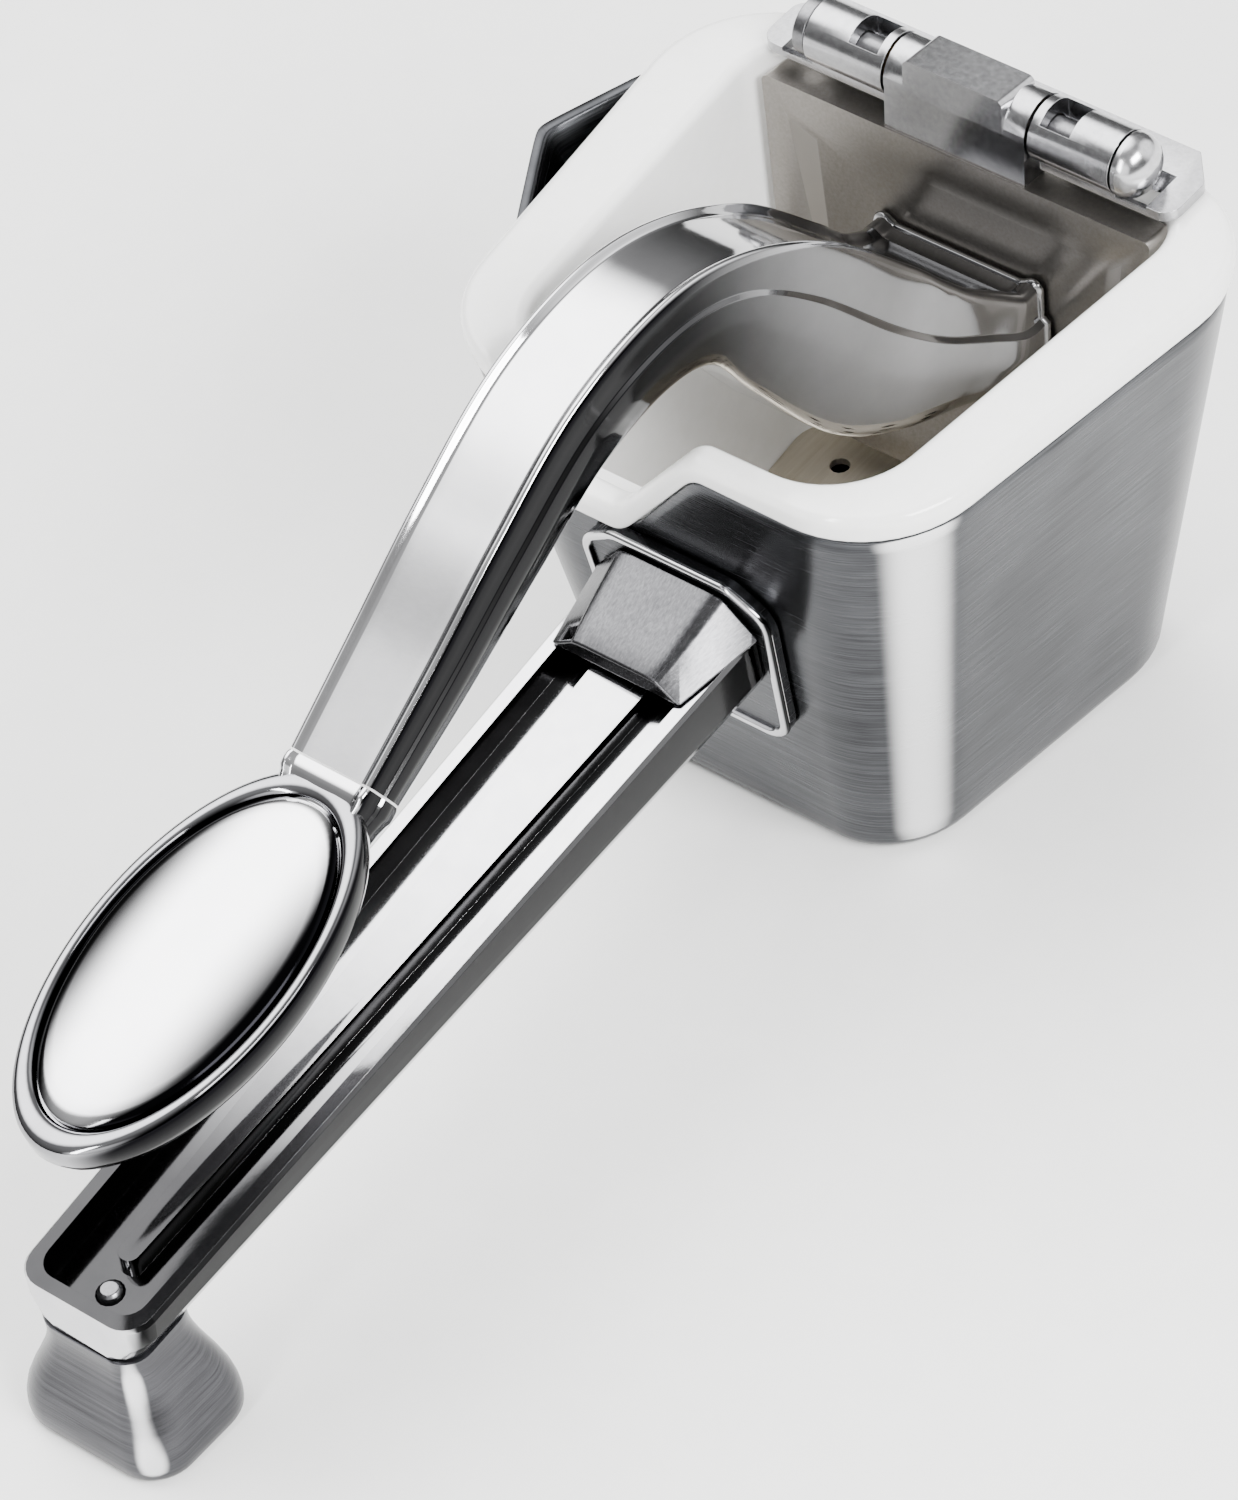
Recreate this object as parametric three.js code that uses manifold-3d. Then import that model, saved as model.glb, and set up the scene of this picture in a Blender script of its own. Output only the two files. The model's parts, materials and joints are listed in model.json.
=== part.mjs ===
// Hand fruit press: a tapered cup with a spout, a press plate hinged on its rear rim,
// a curved lever arm with a thumb pad, and a fixed lower handle that stands on a foot.
// Millimetres, +Z up. The handles run toward -Y, the hinge is at the rear (+Y),
// the spout is on the left (-X).

import * as THREE from 'three';
import { mergeVertices } from 'three/addons/utils/BufferGeometryUtils.js';
import Module from 'manifold-3d';

const wasm = await Module();
wasm.setup();

// ---- Driving dimensions ----

const GAP = 0.3; // between two pieces that seat on each other
const ARC_SEGMENTS = 3; // half the facets of a round corner

// Cup shell, sizes at its top edge
const CUP_HEIGHT = 69.6;
const CUP_DEPTH = 76.2;
const CUP_FRONT_WIDTH = 75.4;
const CUP_REAR_WIDTH = 94.2;
const CUP_CORNER = 17;
const SIDE_DRAFT = 12; // how far each side wall leans in from top to bottom
const END_DRAFT = 8.2; // the same for the front and rear walls
const SHELL_WALL = 1.8;
const SHELL_FLOOR = 3;
const SHELL_EDGE = 2.4; // round of the bottom edge

// Pour spout in the left wall
const SPOUT_REACH = 11; // beyond the side wall
const SPOUT_WIDTH = 46;
const SPOUT_DROP = 27; // from the top edge down to where it runs out
const SPOUT_Y = 4.5;
const SPOUT_POINT_ROUND = 2;
const SPOUT_FOOT_WIDTH = 0.3; // its width where it runs out, as a share of its width at the top

// Notch in the front rim
const NOTCH_X = -9.8;
const NOTCH_WIDTH = 32.6;
const NOTCH_DEPTH = 16.8;
const NOTCH_LEFT_FLANK = 7; // width of the sloping flanks
const NOTCH_RIGHT_FLANK = 14;

// Inner liner
const RIM_HEIGHT = 4.6;
const RIM_OVERHANG = 0.5; // rim past the outside of the shell
const RIM_ROUND = 1.6;
const RIM_INNER_ROUND = 1.5;
const LINER_WALL = 1.6;
const LINER_FRONT_WIDTH = 60.4; // outside of the liner, at the shell's top edge
const LINER_REAR_WIDTH = 73;
const LINER_SIDE_DRAFT = SIDE_DRAFT - 6.2;
const LINER_CORNER = 12; // inside, at the front
const LINER_REAR_CORNER = 8.4;
const LINER_END_GAP = 0.5; // liner to shell at the front and rear
const LINER_FLOOR_Z = 8;
const LINER_FLOOR = 2;
const LEDGE_WIDTH = 3.5;

// Strainer plate on the liner's ledge
const STRAINER_THICKNESS = 1.2;
const STRAINER_HOLE = 3;
const STRAINER_PITCH_X = 8;
const STRAINER_PITCH_Y = 9.4;
const STRAINER_COLUMNS = 6;
const STRAINER_ROWS = 5;

// Hinge
const PIN_RADIUS = 2.2;
const PIN_CLEARANCE = 0.2;
const BARREL_RADIUS = 4.6;
const BARREL_LENGTH = 13;
const KNUCKLE_HALF = 11.6; // half the length of the plate's knuckle
const BUSH_WALL = 0.8;
const BUSH_LENGTH = 6;
const AXIS_INSET = 6.1; // pin axis, in from the outside of the rear wall
const STRAP_THICKNESS = 1.6;
const STRAP_HALF_WIDTH = 34;
const STRAP_REACH = 3.2; // strap edge in front of the pin axis
const APRON_DROP = 16; // bracket apron below the rim of the liner
const APRON_HALF_WIDTH = 30;
const WINDOW_LENGTH = 4.8;
const RIVET_RADIUS = 1.9;
const RIVET_HEAD = 3.4;
const RIVET_CLEARANCE = 0.15;
const RIVET_X = [-24, -8, 8, 24];
const DOME_LENGTH = 4.2;

// Press plate, in its own plane, measured from the pin axis
const PLATE_THICKNESS = 4.8;
const PLATE_BACK = 0; // rear face, behind the pin axis
const PLATE_TOP = 7.5;
const PLATE_LENGTH = 56;
const PLATE_TOP_HALF = 32.3;
const PLATE_BOTTOM_HALF = 33.4 - LINER_SIDE_DRAFT;
const PLATE_CORNER = 10;
const PANEL_BORDER = 4.4;
const PANEL_BEVEL = 3.4;
const PANEL_DEPTH = 1.8;
const TAB_HALF = 8.2;
const TAB_HEIGHT = 5;
const PLATE_SCREW_DROPS = [27, 35]; // below the pin axis, along the plate

// Lever arm, from the plate to the thumb pad: distance in front of the pin axis,
// height over the shell's top edge, depth of the section, half its width
const ARM_STATIONS = [
  [18, -17, 18, 13.2],
  [26, -12.5, 22, 11.4],
  [34.2, -5.2, 24.6, 9.6],
  [46.6, 9.9, 22, 8.4],
  [58, 20.6, 16.2, 8],
  [71, 24.6, 15, 8],
  [87, 22.2, 14.6, 8],
  [103, 14, 13.4, 8],
  [118, 5, 11.6, 7.8],
  [132.5, -3.2, 9.7, 7.4],
];
const ARM_ROOT_DROP = 31; // centre of the arm's root below the pin axis, along the plate
const ARM_ROOT_DEPTH = 16;
const ARM_ROOT_HALF = 15;
const ARM_STEPS = 22;

// Thumb pad
const PAD_LENGTH = 60.6;
const PAD_WIDTH = 32.2;
const PAD_THICKNESS = 8.5;
const PAD_TILT = THREE.MathUtils.degToRad(13);
const PAD_RING = 2.2;
const PAD_RECESS = 1.6;
const PAD_DOME = 2.6;
const PAD_SEGMENTS = 36;

// Lower handle
const HANDLE_END = 124.6; // end wall in front of the cup's front top edge
const HANDLE_ROOT_TOP = 43.2; // height of the side walls' top edge at the cup
const HANDLE_END_TOP = 26;
const HANDLE_ROOT_DEPTH = 11.5;
const HANDLE_END_DEPTH = 7.2;
const HANDLE_ROOT_HALF = 12.6;
const HANDLE_END_HALF = 10.4;
const HANDLE_CORNER = 4;
const HANDLE_WALL = 2;
const TROUGH_ROOT_DEPTH = 4;
const TROUGH_END_DEPTH = 4.8;
const TROUGH_START = 8; // solid root before the trough begins
const RIB_ROOT_HALF = 5;
const RIB_TIP_HALF = 1.6;
const RIB_TIP_SETBACK = 9.5; // from the end wall
const RIB_RISE = 3;

// Joint of the handle to the cup
const FLANGE_THICKNESS = 1.6;
const FLANGE_HALF_WIDTH = 15.8;
const FLANGE_BOTTOM = 22;
const FLANGE_TOP = 52.2;
const HOOD_LENGTH = 18;
const HOOD_ROOT_HALF = 15;
const HOOD_LIP_HALF = 10.9;
const HOOD_ROOT_RISE = 8.2;
const HOOD_LIP_RISE = 2.6;
const HOOD_TOP_SHARE = 0.62; // width of its flat top, as a share of its foot
const HANDLE_SCREW_X = 6.5;
const HANDLE_SCREW_Z = 36.6;
const HANDLE_SCREW_LENGTH = 10;

// Foot under the handle's end
const FOOT_HALF_WIDTH = 13;
const FOOT_HALF_DEPTH = 10;
const FOOT_WAIST = 0.66; // waist as a share of the bottom
const FOOT_CORNER = 6;
const FOOT_SETBACK = 6.4; // foot centre behind the handle's end wall

// Countersunk screws
const SCREW_RADIUS = 1.7;
const SCREW_HEAD = 3.2;
const SCREW_HEAD_DEPTH = 1.6;

// ---- Values worked out from them ----

const HALF_DEPTH = CUP_DEPTH / 2;
const SHELL_SIDES = {
  front: CUP_FRONT_WIDTH / 2,
  rear: CUP_REAR_WIDTH / 2,
  draft: SIDE_DRAFT,
  rearSharper: 0,
};
const LINER_SIDES = {
  front: LINER_FRONT_WIDTH / 2,
  rear: LINER_REAR_WIDTH / 2,
  draft: LINER_SIDE_DRAFT,
  rearSharper: LINER_CORNER - LINER_REAR_CORNER,
};
const FRONT_Y = -HALF_DEPTH;
const RIM_BASE_Z = CUP_HEIGHT + GAP;
const RIM_TOP_Z = RIM_BASE_Z + RIM_HEIGHT;
const LINER_END_INSET = SHELL_WALL + LINER_END_GAP;
const INNER_END_INSET = LINER_END_INSET + LINER_WALL;
const STRAINER_Z = LINER_FLOOR_Z + LINER_FLOOR + GAP;
const BORE_RADIUS = PIN_RADIUS + PIN_CLEARANCE;
const BUSH_RADIUS = BORE_RADIUS + BUSH_WALL;
const BUSH_BORE = BUSH_RADIUS + PIN_CLEARANCE;
const BARREL_START = KNUCKLE_HALF + 0.5;
const BARREL_END = BARREL_START + BARREL_LENGTH;
const DRAFT_ANGLE = Math.atan(END_DRAFT / CUP_HEIGHT);
const AXIS = new THREE.Vector3(0, HALF_DEPTH - AXIS_INSET, RIM_TOP_Z + GAP + 0.1 + BARREL_RADIUS);
const PLATE_FRONT = PLATE_BACK + PLATE_THICKNESS;
const PANEL_FACE = PLATE_FRONT - PANEL_DEPTH;
const SCREW_HOLE = SCREW_RADIUS + GAP;

// ---- Solids ----

// A closed geometry as a solid that can be cut and joined, faces pointing out.
function solid(geometry) {
  const bare = geometry.index ? geometry.toNonIndexed() : geometry.clone();
  bare.deleteAttribute('normal');
  bare.deleteAttribute('uv');
  const merged = mergeVertices(bare, 1e-4);
  const points = merged.attributes.position;
  const corners = [0, 1, 2].map(() => new THREE.Vector3());
  const triangles = [];
  let volume = 0;
  for (let i = 0; i < merged.index.count; i += 3) {
    const ids = [0, 1, 2].map((k) => merged.index.getX(i + k));
    if (ids[0] === ids[1] || ids[1] === ids[2] || ids[2] === ids[0]) continue;
    ids.forEach((id, k) => corners[k].fromBufferAttribute(points, id));
    volume += corners[0].dot(corners[1].clone().cross(corners[2]));
    triangles.push(ids);
  }
  const wound = volume < 0 ? triangles.map(([a, b, c]) => [a, c, b]) : triangles;
  return new wasm.Manifold(new wasm.Mesh({
    numProp: 3,
    vertProperties: new Float32Array(points.array),
    triVerts: new Uint32Array(wound.flat()),
  }));
}

function geometryOf(body) {
  const mesh = body.getMesh();
  const geometry = new THREE.BufferGeometry();
  geometry.setAttribute('position', new THREE.BufferAttribute(new Float32Array(mesh.vertProperties), 3));
  geometry.setIndex(new THREE.BufferAttribute(new Uint32Array(mesh.triVerts), 1));
  geometry.computeVertexNormals();
  return geometry;
}

// A closed outline through [x, y, radius] corners, counter-clockwise, with round corners.
function roundedOutline(corners) {
  const shape = new THREE.Shape();
  corners.forEach(([x, y, radius], i) => {
    const corner = new THREE.Vector2(x, y);
    const before = corners[(i + corners.length - 1) % corners.length];
    const after = corners[(i + 1) % corners.length];
    const toBefore = new THREE.Vector2(before[0], before[1]).sub(corner).normalize();
    const toAfter = new THREE.Vector2(after[0], after[1]).sub(corner).normalize();
    const half = Math.acos(THREE.MathUtils.clamp(toBefore.dot(toAfter), -1, 1)) / 2;
    if (radius > 0 && half < Math.PI / 2 - 1e-3) {
      const bisector = toBefore.clone().add(toAfter).normalize();
      const centre = corner.clone().addScaledVector(bisector, radius / Math.sin(half));
      const start = corner.clone().addScaledVector(toBefore, radius / Math.tan(half)).sub(centre);
      const end = corner.clone().addScaledVector(toAfter, radius / Math.tan(half)).sub(centre);
      const inward = toBefore.cross(toAfter) > 0;
      shape.absarc(centre.x, centre.y, radius, start.angle(), end.angle(), inward);
    } else if (i === 0) {
      shape.moveTo(x, y);
    } else {
      shape.lineTo(x, y);
    }
  });
  shape.closePath();
  return shape;
}

// A prism over an outline; place moves each point, whose z runs from 0 to 1.
function shapedPrism(outline, steps, place) {
  const geometry = new THREE.ExtrudeGeometry(outline, {
    depth: 1,
    steps,
    bevelEnabled: false,
    curveSegments: ARC_SEGMENTS,
  });
  const positions = geometry.attributes.position;
  const point = new THREE.Vector3();
  for (let i = 0; i < positions.count; i += 1) {
    point.fromBufferAttribute(positions, i);
    place(point);
    positions.setXYZ(i, point.x, point.y, point.z);
  }
  return solid(geometry);
}

// A turned solid from [radius, height] points, its axis from start along direction.
function turned(profile, start, direction, segments = 16) {
  const points = profile.map(([radius, height]) => new THREE.Vector2(radius, height));
  const geometry = new THREE.LatheGeometry(points, segments);
  const turn = new THREE.Quaternion().setFromUnitVectors(
    new THREE.Vector3(0, 1, 0), direction.clone().normalize());
  geometry.applyQuaternion(turn);
  geometry.translate(start.x, start.y, start.z);
  return solid(geometry);
}

function rod(radius, length, start, direction, segments = 16) {
  return turned([[0, 0], [radius, 0], [radius, length], [0, length]], start, direction, segments);
}

function block(xLow, xHigh, yLow, yHigh, zLow, zHigh) {
  const geometry = new THREE.BoxGeometry(xHigh - xLow, yHigh - yLow, zHigh - zLow);
  geometry.translate((xLow + xHigh) / 2, (yLow + yHigh) / 2, (zLow + zHigh) / 2);
  return solid(geometry);
}

function joined(bodies) {
  return bodies.reduce((whole, body) => whole.add(body));
}

const part = new THREE.Group();

function addPiece(name, body, color, roughness, metalness) {
  const material = new THREE.MeshStandardMaterial({ color, roughness, metalness });
  const mesh = new THREE.Mesh(geometryOf(body), material);
  mesh.name = name;
  part.add(mesh);
}

// ---- Cup ----

// A block of the cup's own tapered form. Each level is [height, extra inset].
function cupForm(sides, sideInset, endInset, corner, levels) {
  const front = sides.front - sideInset;
  const rear = sides.rear - sideInset;
  const end = HALF_DEPTH - endInset;
  const rearCorner = corner - sides.rearSharper;
  const outline = roundedOutline([
    [front, -end, corner],
    [rear, end, rearCorner],
    [-rear, end, rearCorner],
    [-front, -end, corner],
  ]);
  const steps = levels.length - 1;
  return shapedPrism(outline, steps, (point) => {
    const [z, inset] = levels[Math.round(point.z * steps)];
    const lost = 1 - z / CUP_HEIGHT;
    point.x *= 1 - (lost * sides.draft + inset) / ((front + rear) / 2);
    point.y *= 1 - (lost * END_DRAFT + inset) / end;
    point.z = z;
  });
}

// How far behind the middle the outside of the rear wall is, at a height.
function endWallY(z) {
  return HALF_DEPTH - (1 - z / CUP_HEIGHT) * END_DRAFT;
}

// Half the width of the cup's outline at the top edge, at a place from front to rear.
function halfWidthAt(y) {
  const share = (y + HALF_DEPTH) / CUP_DEPTH;
  return THREE.MathUtils.lerp(CUP_FRONT_WIDTH, CUP_REAR_WIDTH, share) / 2;
}

// The spout's wedge, set in by inset. It runs out down the side wall, which leans in.
function spoutWedge(inset, zLow, zHigh) {
  const reach = SPOUT_REACH - 1.2 * inset;
  const half = SPOUT_WIDTH / 2 - 1.2 * inset;
  const buried = 4 + inset;
  const outline = roundedOutline([
    [buried, SPOUT_Y + half * (1 + buried / reach), 0],
    [-reach, SPOUT_Y, SPOUT_POINT_ROUND],
    [buried, SPOUT_Y - half * (1 + buried / reach), 0],
  ]);
  return shapedPrism(outline, 3, (point) => {
    const z = THREE.MathUtils.lerp(zLow, zHigh, point.z);
    const rise = THREE.MathUtils.clamp(1 + (z - CUP_HEIGHT) / SPOUT_DROP, 0, 1);
    const wall = -halfWidthAt(SPOUT_Y) + (1 - z / CUP_HEIGHT) * SIDE_DRAFT;
    const stand = point.x < 0 ? point.x * rise : point.x;
    const breadth = THREE.MathUtils.lerp(SPOUT_FOOT_WIDTH, 1, rise);
    point.set(wall + stand, SPOUT_Y + (point.y - SPOUT_Y) * breadth, z);
  });
}

// The notch's outline in the front wall, raised by lift, and closed above the rim.
function notchCorners(lift) {
  const left = NOTCH_X - NOTCH_WIDTH / 2;
  const right = NOTCH_X + NOTCH_WIDTH / 2;
  const top = CUP_HEIGHT + lift;
  return [
    [left, top],
    [left + NOTCH_LEFT_FLANK, top - NOTCH_DEPTH],
    [right - NOTCH_RIGHT_FLANK, top - NOTCH_DEPTH],
    [right, top],
  ];
}

// An upright plate of the front wall's slope, from an outline seen from the front.
function frontWallPlate(corners, outside, thickness) {
  return shapedPrism(roundedOutline(corners), 1, (point) => {
    const z = point.y;
    const y = -endWallY(z) - outside + thickness * (1 - point.z);
    point.set(point.x, y, z);
  });
}

function notchCutter(lift) {
  const [topLeft, bottomLeft, bottomRight, topRight] = notchCorners(lift);
  const above = CUP_HEIGHT + 2 * NOTCH_DEPTH;
  return frontWallPlate([
    [...bottomLeft, 1.5],
    [...bottomRight, 1.5],
    [...topRight, 0],
    [topRight[0], above, 0],
    [topLeft[0], above, 0],
    [...topLeft, 0],
  ], 4, HALF_DEPTH / 2);
}

function outerShell() {
  const outside = cupForm(SHELL_SIDES, 0, 0, CUP_CORNER, [
    [0, SHELL_EDGE],
    [0.3 * SHELL_EDGE, 0.3 * SHELL_EDGE],
    [SHELL_EDGE, 0],
    [CUP_HEIGHT, 0],
  ]).add(spoutWedge(0, CUP_HEIGHT - SPOUT_DROP, CUP_HEIGHT));
  const above = CUP_HEIGHT + 2;
  const inside = cupForm(SHELL_SIDES, SHELL_WALL, SHELL_WALL, CUP_CORNER - SHELL_WALL, [
    [SHELL_FLOOR, 0],
    [above, 0],
  ]).add(spoutWedge(SHELL_WALL, CUP_HEIGHT - SPOUT_DROP + SHELL_WALL, above));
  return outside.subtract(inside)
    .subtract(notchCutter(0))
    .subtract(joined(handleScrewPlaces().map(screwHole)))
    .subtract(joined(rivetPlaces().map(rivetHole)));
}

function innerLiner() {
  const wall = cupForm(LINER_SIDES, 0, LINER_END_INSET, LINER_CORNER + LINER_WALL, [
    [LINER_FLOOR_Z, 0],
    [RIM_BASE_Z + 1, 0],
  ]);
  const rim = cupForm(SHELL_SIDES, -RIM_OVERHANG, -RIM_OVERHANG, CUP_CORNER + RIM_OVERHANG, [
    [RIM_BASE_Z, 0.5 * RIM_ROUND],
    [RIM_BASE_Z + 0.4 * RIM_ROUND, 0],
    [RIM_TOP_Z - RIM_ROUND, 0],
    [RIM_TOP_Z - 0.3 * RIM_ROUND, 0.3 * RIM_ROUND],
    [RIM_TOP_Z, RIM_ROUND],
  ]);
  const notchLip = frontWallPlate(notchLipCorners(), RIM_OVERHANG, INNER_END_INSET + RIM_OVERHANG);
  const above = RIM_TOP_Z + 2;
  const inside = cupForm(LINER_SIDES, LINER_WALL, INNER_END_INSET, LINER_CORNER, [
    [LINER_FLOOR_Z + LINER_FLOOR, 0],
    [RIM_TOP_Z - RIM_INNER_ROUND, 0],
    [RIM_TOP_Z - 0.3 * RIM_INNER_ROUND, -0.4 * RIM_INNER_ROUND],
    [RIM_TOP_Z, -RIM_INNER_ROUND],
    [above, -RIM_INNER_ROUND],
  ]);
  const ledge = LINER_WALL + LEDGE_WIDTH;
  const floorOpening = cupForm(LINER_SIDES, ledge, LINER_END_INSET + ledge, LINER_CORNER - LEDGE_WIDTH, [
    [LINER_FLOOR_Z - 1, 0],
    [LINER_FLOOR_Z + LINER_FLOOR + 1, 0],
  ]);
  const lip = notchLip.subtract(inside);
  return wall.add(rim)
    .subtract(notchCutter(RIM_HEIGHT + GAP))
    .add(lip)
    .subtract(inside)
    .subtract(floorOpening);
}

// The band of the liner's rim that follows the notch, seen from the front.
function notchLipCorners() {
  const lower = notchCorners(GAP);
  const upper = notchCorners(GAP + RIM_HEIGHT);
  return [
    [...lower[0], 0],
    [...lower[1], 1.2],
    [...lower[2], 1.2],
    [...lower[3], 0],
    [upper[3][0], upper[3][1] - 0.5 * RIM_HEIGHT, 0],
    [...upper[2], 2.5],
    [...upper[1], 2.5],
    [upper[0][0], upper[0][1] - 0.5 * RIM_HEIGHT, 0],
  ];
}

function strainerPlate() {
  const inset = LINER_WALL + GAP;
  const plate = cupForm(LINER_SIDES, inset, LINER_END_INSET + inset, LINER_CORNER - GAP, [
    [STRAINER_Z, 0],
    [STRAINER_Z + STRAINER_THICKNESS, 0],
  ]);
  const holes = [];
  const up = new THREE.Vector3(0, 0, 1);
  const lastColumn = STRAINER_COLUMNS - 1;
  const lastRow = STRAINER_ROWS - 1;
  for (let column = 0; column <= lastColumn; column += 1) {
    for (let row = 0; row <= lastRow; row += 1) {
      const x = (column - lastColumn / 2) * STRAINER_PITCH_X;
      const y = (row - lastRow / 2) * STRAINER_PITCH_Y;
      const start = new THREE.Vector3(x, y, STRAINER_Z - 1);
      holes.push(rod(STRAINER_HOLE / 2, STRAINER_THICKNESS + 2, start, up, 12));
    }
  }
  return plate.subtract(joined(holes));
}

// ---- Hinge ----

const RIGHT = new THREE.Vector3(1, 0, 0);

function alongPin(radius, xLow, xHigh, segments = 24) {
  return rod(radius, xHigh - xLow, new THREE.Vector3(xLow, AXIS.y, AXIS.z), RIGHT, segments);
}

function rivetPlaces() {
  const z = RIM_BASE_Z - 0.62 * APRON_DROP;
  const out = new THREE.Vector3(0, Math.cos(DRAFT_ANGLE), -Math.sin(DRAFT_ANGLE));
  return RIVET_X.map((x) => ({
    start: new THREE.Vector3(x, endWallY(z) - SHELL_WALL, z),
    out,
  }));
}

function hingeBracket() {
  const strapLow = RIM_TOP_Z + GAP;
  const strapHigh = strapLow + STRAP_THICKNESS;
  const rear = endWallY(strapHigh) + RIM_OVERHANG + GAP + STRAP_THICKNESS;
  const strap = shapedPrism(roundedOutline([
    [STRAP_HALF_WIDTH, AXIS.y - STRAP_REACH, 2.5],
    [STRAP_HALF_WIDTH, HALF_DEPTH - 1.5, 2],
    [APRON_HALF_WIDTH, rear, 0],
    [-APRON_HALF_WIDTH, rear, 0],
    [-STRAP_HALF_WIDTH, HALF_DEPTH - 1.5, 2],
    [-STRAP_HALF_WIDTH, AXIS.y - STRAP_REACH, 2.5],
  ]), 1, (point) => {
    point.z = THREE.MathUtils.lerp(strapLow, strapHigh, point.z);
  });
  const apronLevels = [
    [RIM_BASE_Z - APRON_DROP, GAP],
    [RIM_BASE_Z - 0.3 * APRON_DROP, GAP],
    [RIM_BASE_Z - 0.08 * APRON_DROP, RIM_OVERHANG + GAP],
    [strapHigh, RIM_OVERHANG + GAP],
  ];
  const apronOutline = roundedOutline([
    [APRON_HALF_WIDTH, 0, 0],
    [APRON_HALF_WIDTH, STRAP_THICKNESS, 0],
    [-APRON_HALF_WIDTH, STRAP_THICKNESS, 0],
    [-APRON_HALF_WIDTH, 0, 0],
  ]);
  const apron = shapedPrism(apronOutline, apronLevels.length - 1, (point) => {
    const [z, stand] = apronLevels[Math.round(point.z * (apronLevels.length - 1))];
    point.y += endWallY(z) + stand;
    point.z = z;
  });
  const cutout = block(-KNUCKLE_HALF - 1.2, KNUCKLE_HALF + 1.2, 0, rear - STRAP_THICKNESS,
    strapLow - 1, strapHigh + 1);
  const barrels = [-BARREL_END, BARREL_START].map((x) => alongPin(BARREL_RADIUS, x, x + BARREL_LENGTH));
  const windowStart = BARREL_START + 1.3;
  const windows = [-windowStart - WINDOW_LENGTH, windowStart].map((x) => block(
    x, x + WINDOW_LENGTH, AXIS.y - 3.2, AXIS.y + 3.2, AXIS.z, AXIS.z + 2 * BARREL_RADIUS));
  const headRoom = GAP + DOME_LENGTH + 0.5;
  const reliefs = [-BARREL_END - headRoom, BARREL_END].map((x) => (
    alongPin(BARREL_RADIUS + GAP, x, x + headRoom)));
  return strap.add(apron)
    .subtract(cutout)
    .subtract(joined(reliefs))
    .add(joined(barrels))
    .subtract(alongPin(BORE_RADIUS, -BARREL_END - 1, BARREL_END + 1))
    .subtract(joined(windows))
    .subtract(joined(rivetPlaces().map(rivetHole)));
}

function rivetHole({ start, out }) {
  const before = start.clone().addScaledVector(out, -2);
  return rod(RIVET_RADIUS + RIVET_CLEARANCE, 4 * SHELL_WALL + STRAP_THICKNESS, before, out);
}

function apronRivet({ start, out }) {
  const grip = SHELL_WALL + GAP + STRAP_THICKNESS + GAP;
  return turned([
    [0, 0.2],
    [RIVET_RADIUS, 0.2],
    [RIVET_RADIUS, grip],
    [RIVET_HEAD, grip],
    [RIVET_HEAD * 0.8, grip + 1],
    [RIVET_HEAD * 0.4, grip + 1.5],
    [0, grip + 1.6],
  ], start, out);
}

function hingePin() {
  const headStart = -BARREL_END - GAP - 2;
  const head = alongPin(BARREL_RADIUS - 0.4, headStart, headStart + 2);
  return head.add(alongPin(PIN_RADIUS, headStart + 1, BARREL_END + 2));
}

function pinDomeCap() {
  const start = new THREE.Vector3(BARREL_END + GAP, AXIS.y, AXIS.z);
  const profile = [[0, 0], [BARREL_RADIUS, 0], [BARREL_RADIUS, 0.8]];
  const steps = 6;
  for (let i = 1; i <= steps; i += 1) {
    const angle = (i / steps) * (Math.PI / 2);
    const radius = i === steps ? 0 : BARREL_RADIUS * Math.cos(angle);
    profile.push([radius, 0.8 + (DOME_LENGTH - 0.8) * Math.sin(angle)]);
  }
  const socket = alongPin(BORE_RADIUS, BARREL_END - 1, BARREL_END + 2 + GAP);
  return turned(profile, start, RIGHT, 24).subtract(socket);
}

function hingeBush(xLow) {
  return alongPin(BUSH_RADIUS, xLow, xLow + BUSH_LENGTH)
    .subtract(alongPin(BORE_RADIUS, xLow - 1, xLow + BUSH_LENGTH + 1));
}

// ---- Press plate and lever arm ----

const PLATE_UP = new THREE.Vector3(0, Math.sin(DRAFT_ANGLE), Math.cos(DRAFT_ANGLE));
const PLATE_OUT = new THREE.Vector3(0, -Math.cos(DRAFT_ANGLE), Math.sin(DRAFT_ANGLE));

// A point of the plate: across, along the plate up from the pin axis, and out of its face.
function onPlate(across, up, out) {
  return new THREE.Vector3(across, 0, 0)
    .addScaledVector(PLATE_UP, up)
    .addScaledVector(PLATE_OUT, out)
    .add(AXIS);
}

// A slab parallel to the plate; grow is how far its outline spreads at its outer side.
function plateSlab(corners, outLow, outHigh, grow = 0) {
  const middle = -(PLATE_TOP + PLATE_LENGTH / 2);
  return shapedPrism(roundedOutline(corners), 1, (point) => {
    const extra = grow * point.z;
    const across = point.x + Math.sign(point.x) * extra;
    const up = point.y + Math.sign(point.y - middle) * extra;
    point.copy(onPlate(across, up, THREE.MathUtils.lerp(outLow, outHigh, point.z)));
  });
}

// The plate's own outline, set in by inset.
function plateCorners(inset, corner) {
  const bottom = -(PLATE_TOP + PLATE_LENGTH) + inset;
  const top = -PLATE_TOP - inset;
  return [
    [-PLATE_BOTTOM_HALF + inset, bottom, corner],
    [PLATE_BOTTOM_HALF - inset, bottom, corner],
    [PLATE_TOP_HALF - inset, top, 1],
    [-PLATE_TOP_HALF + inset, top, 1],
  ];
}

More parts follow.
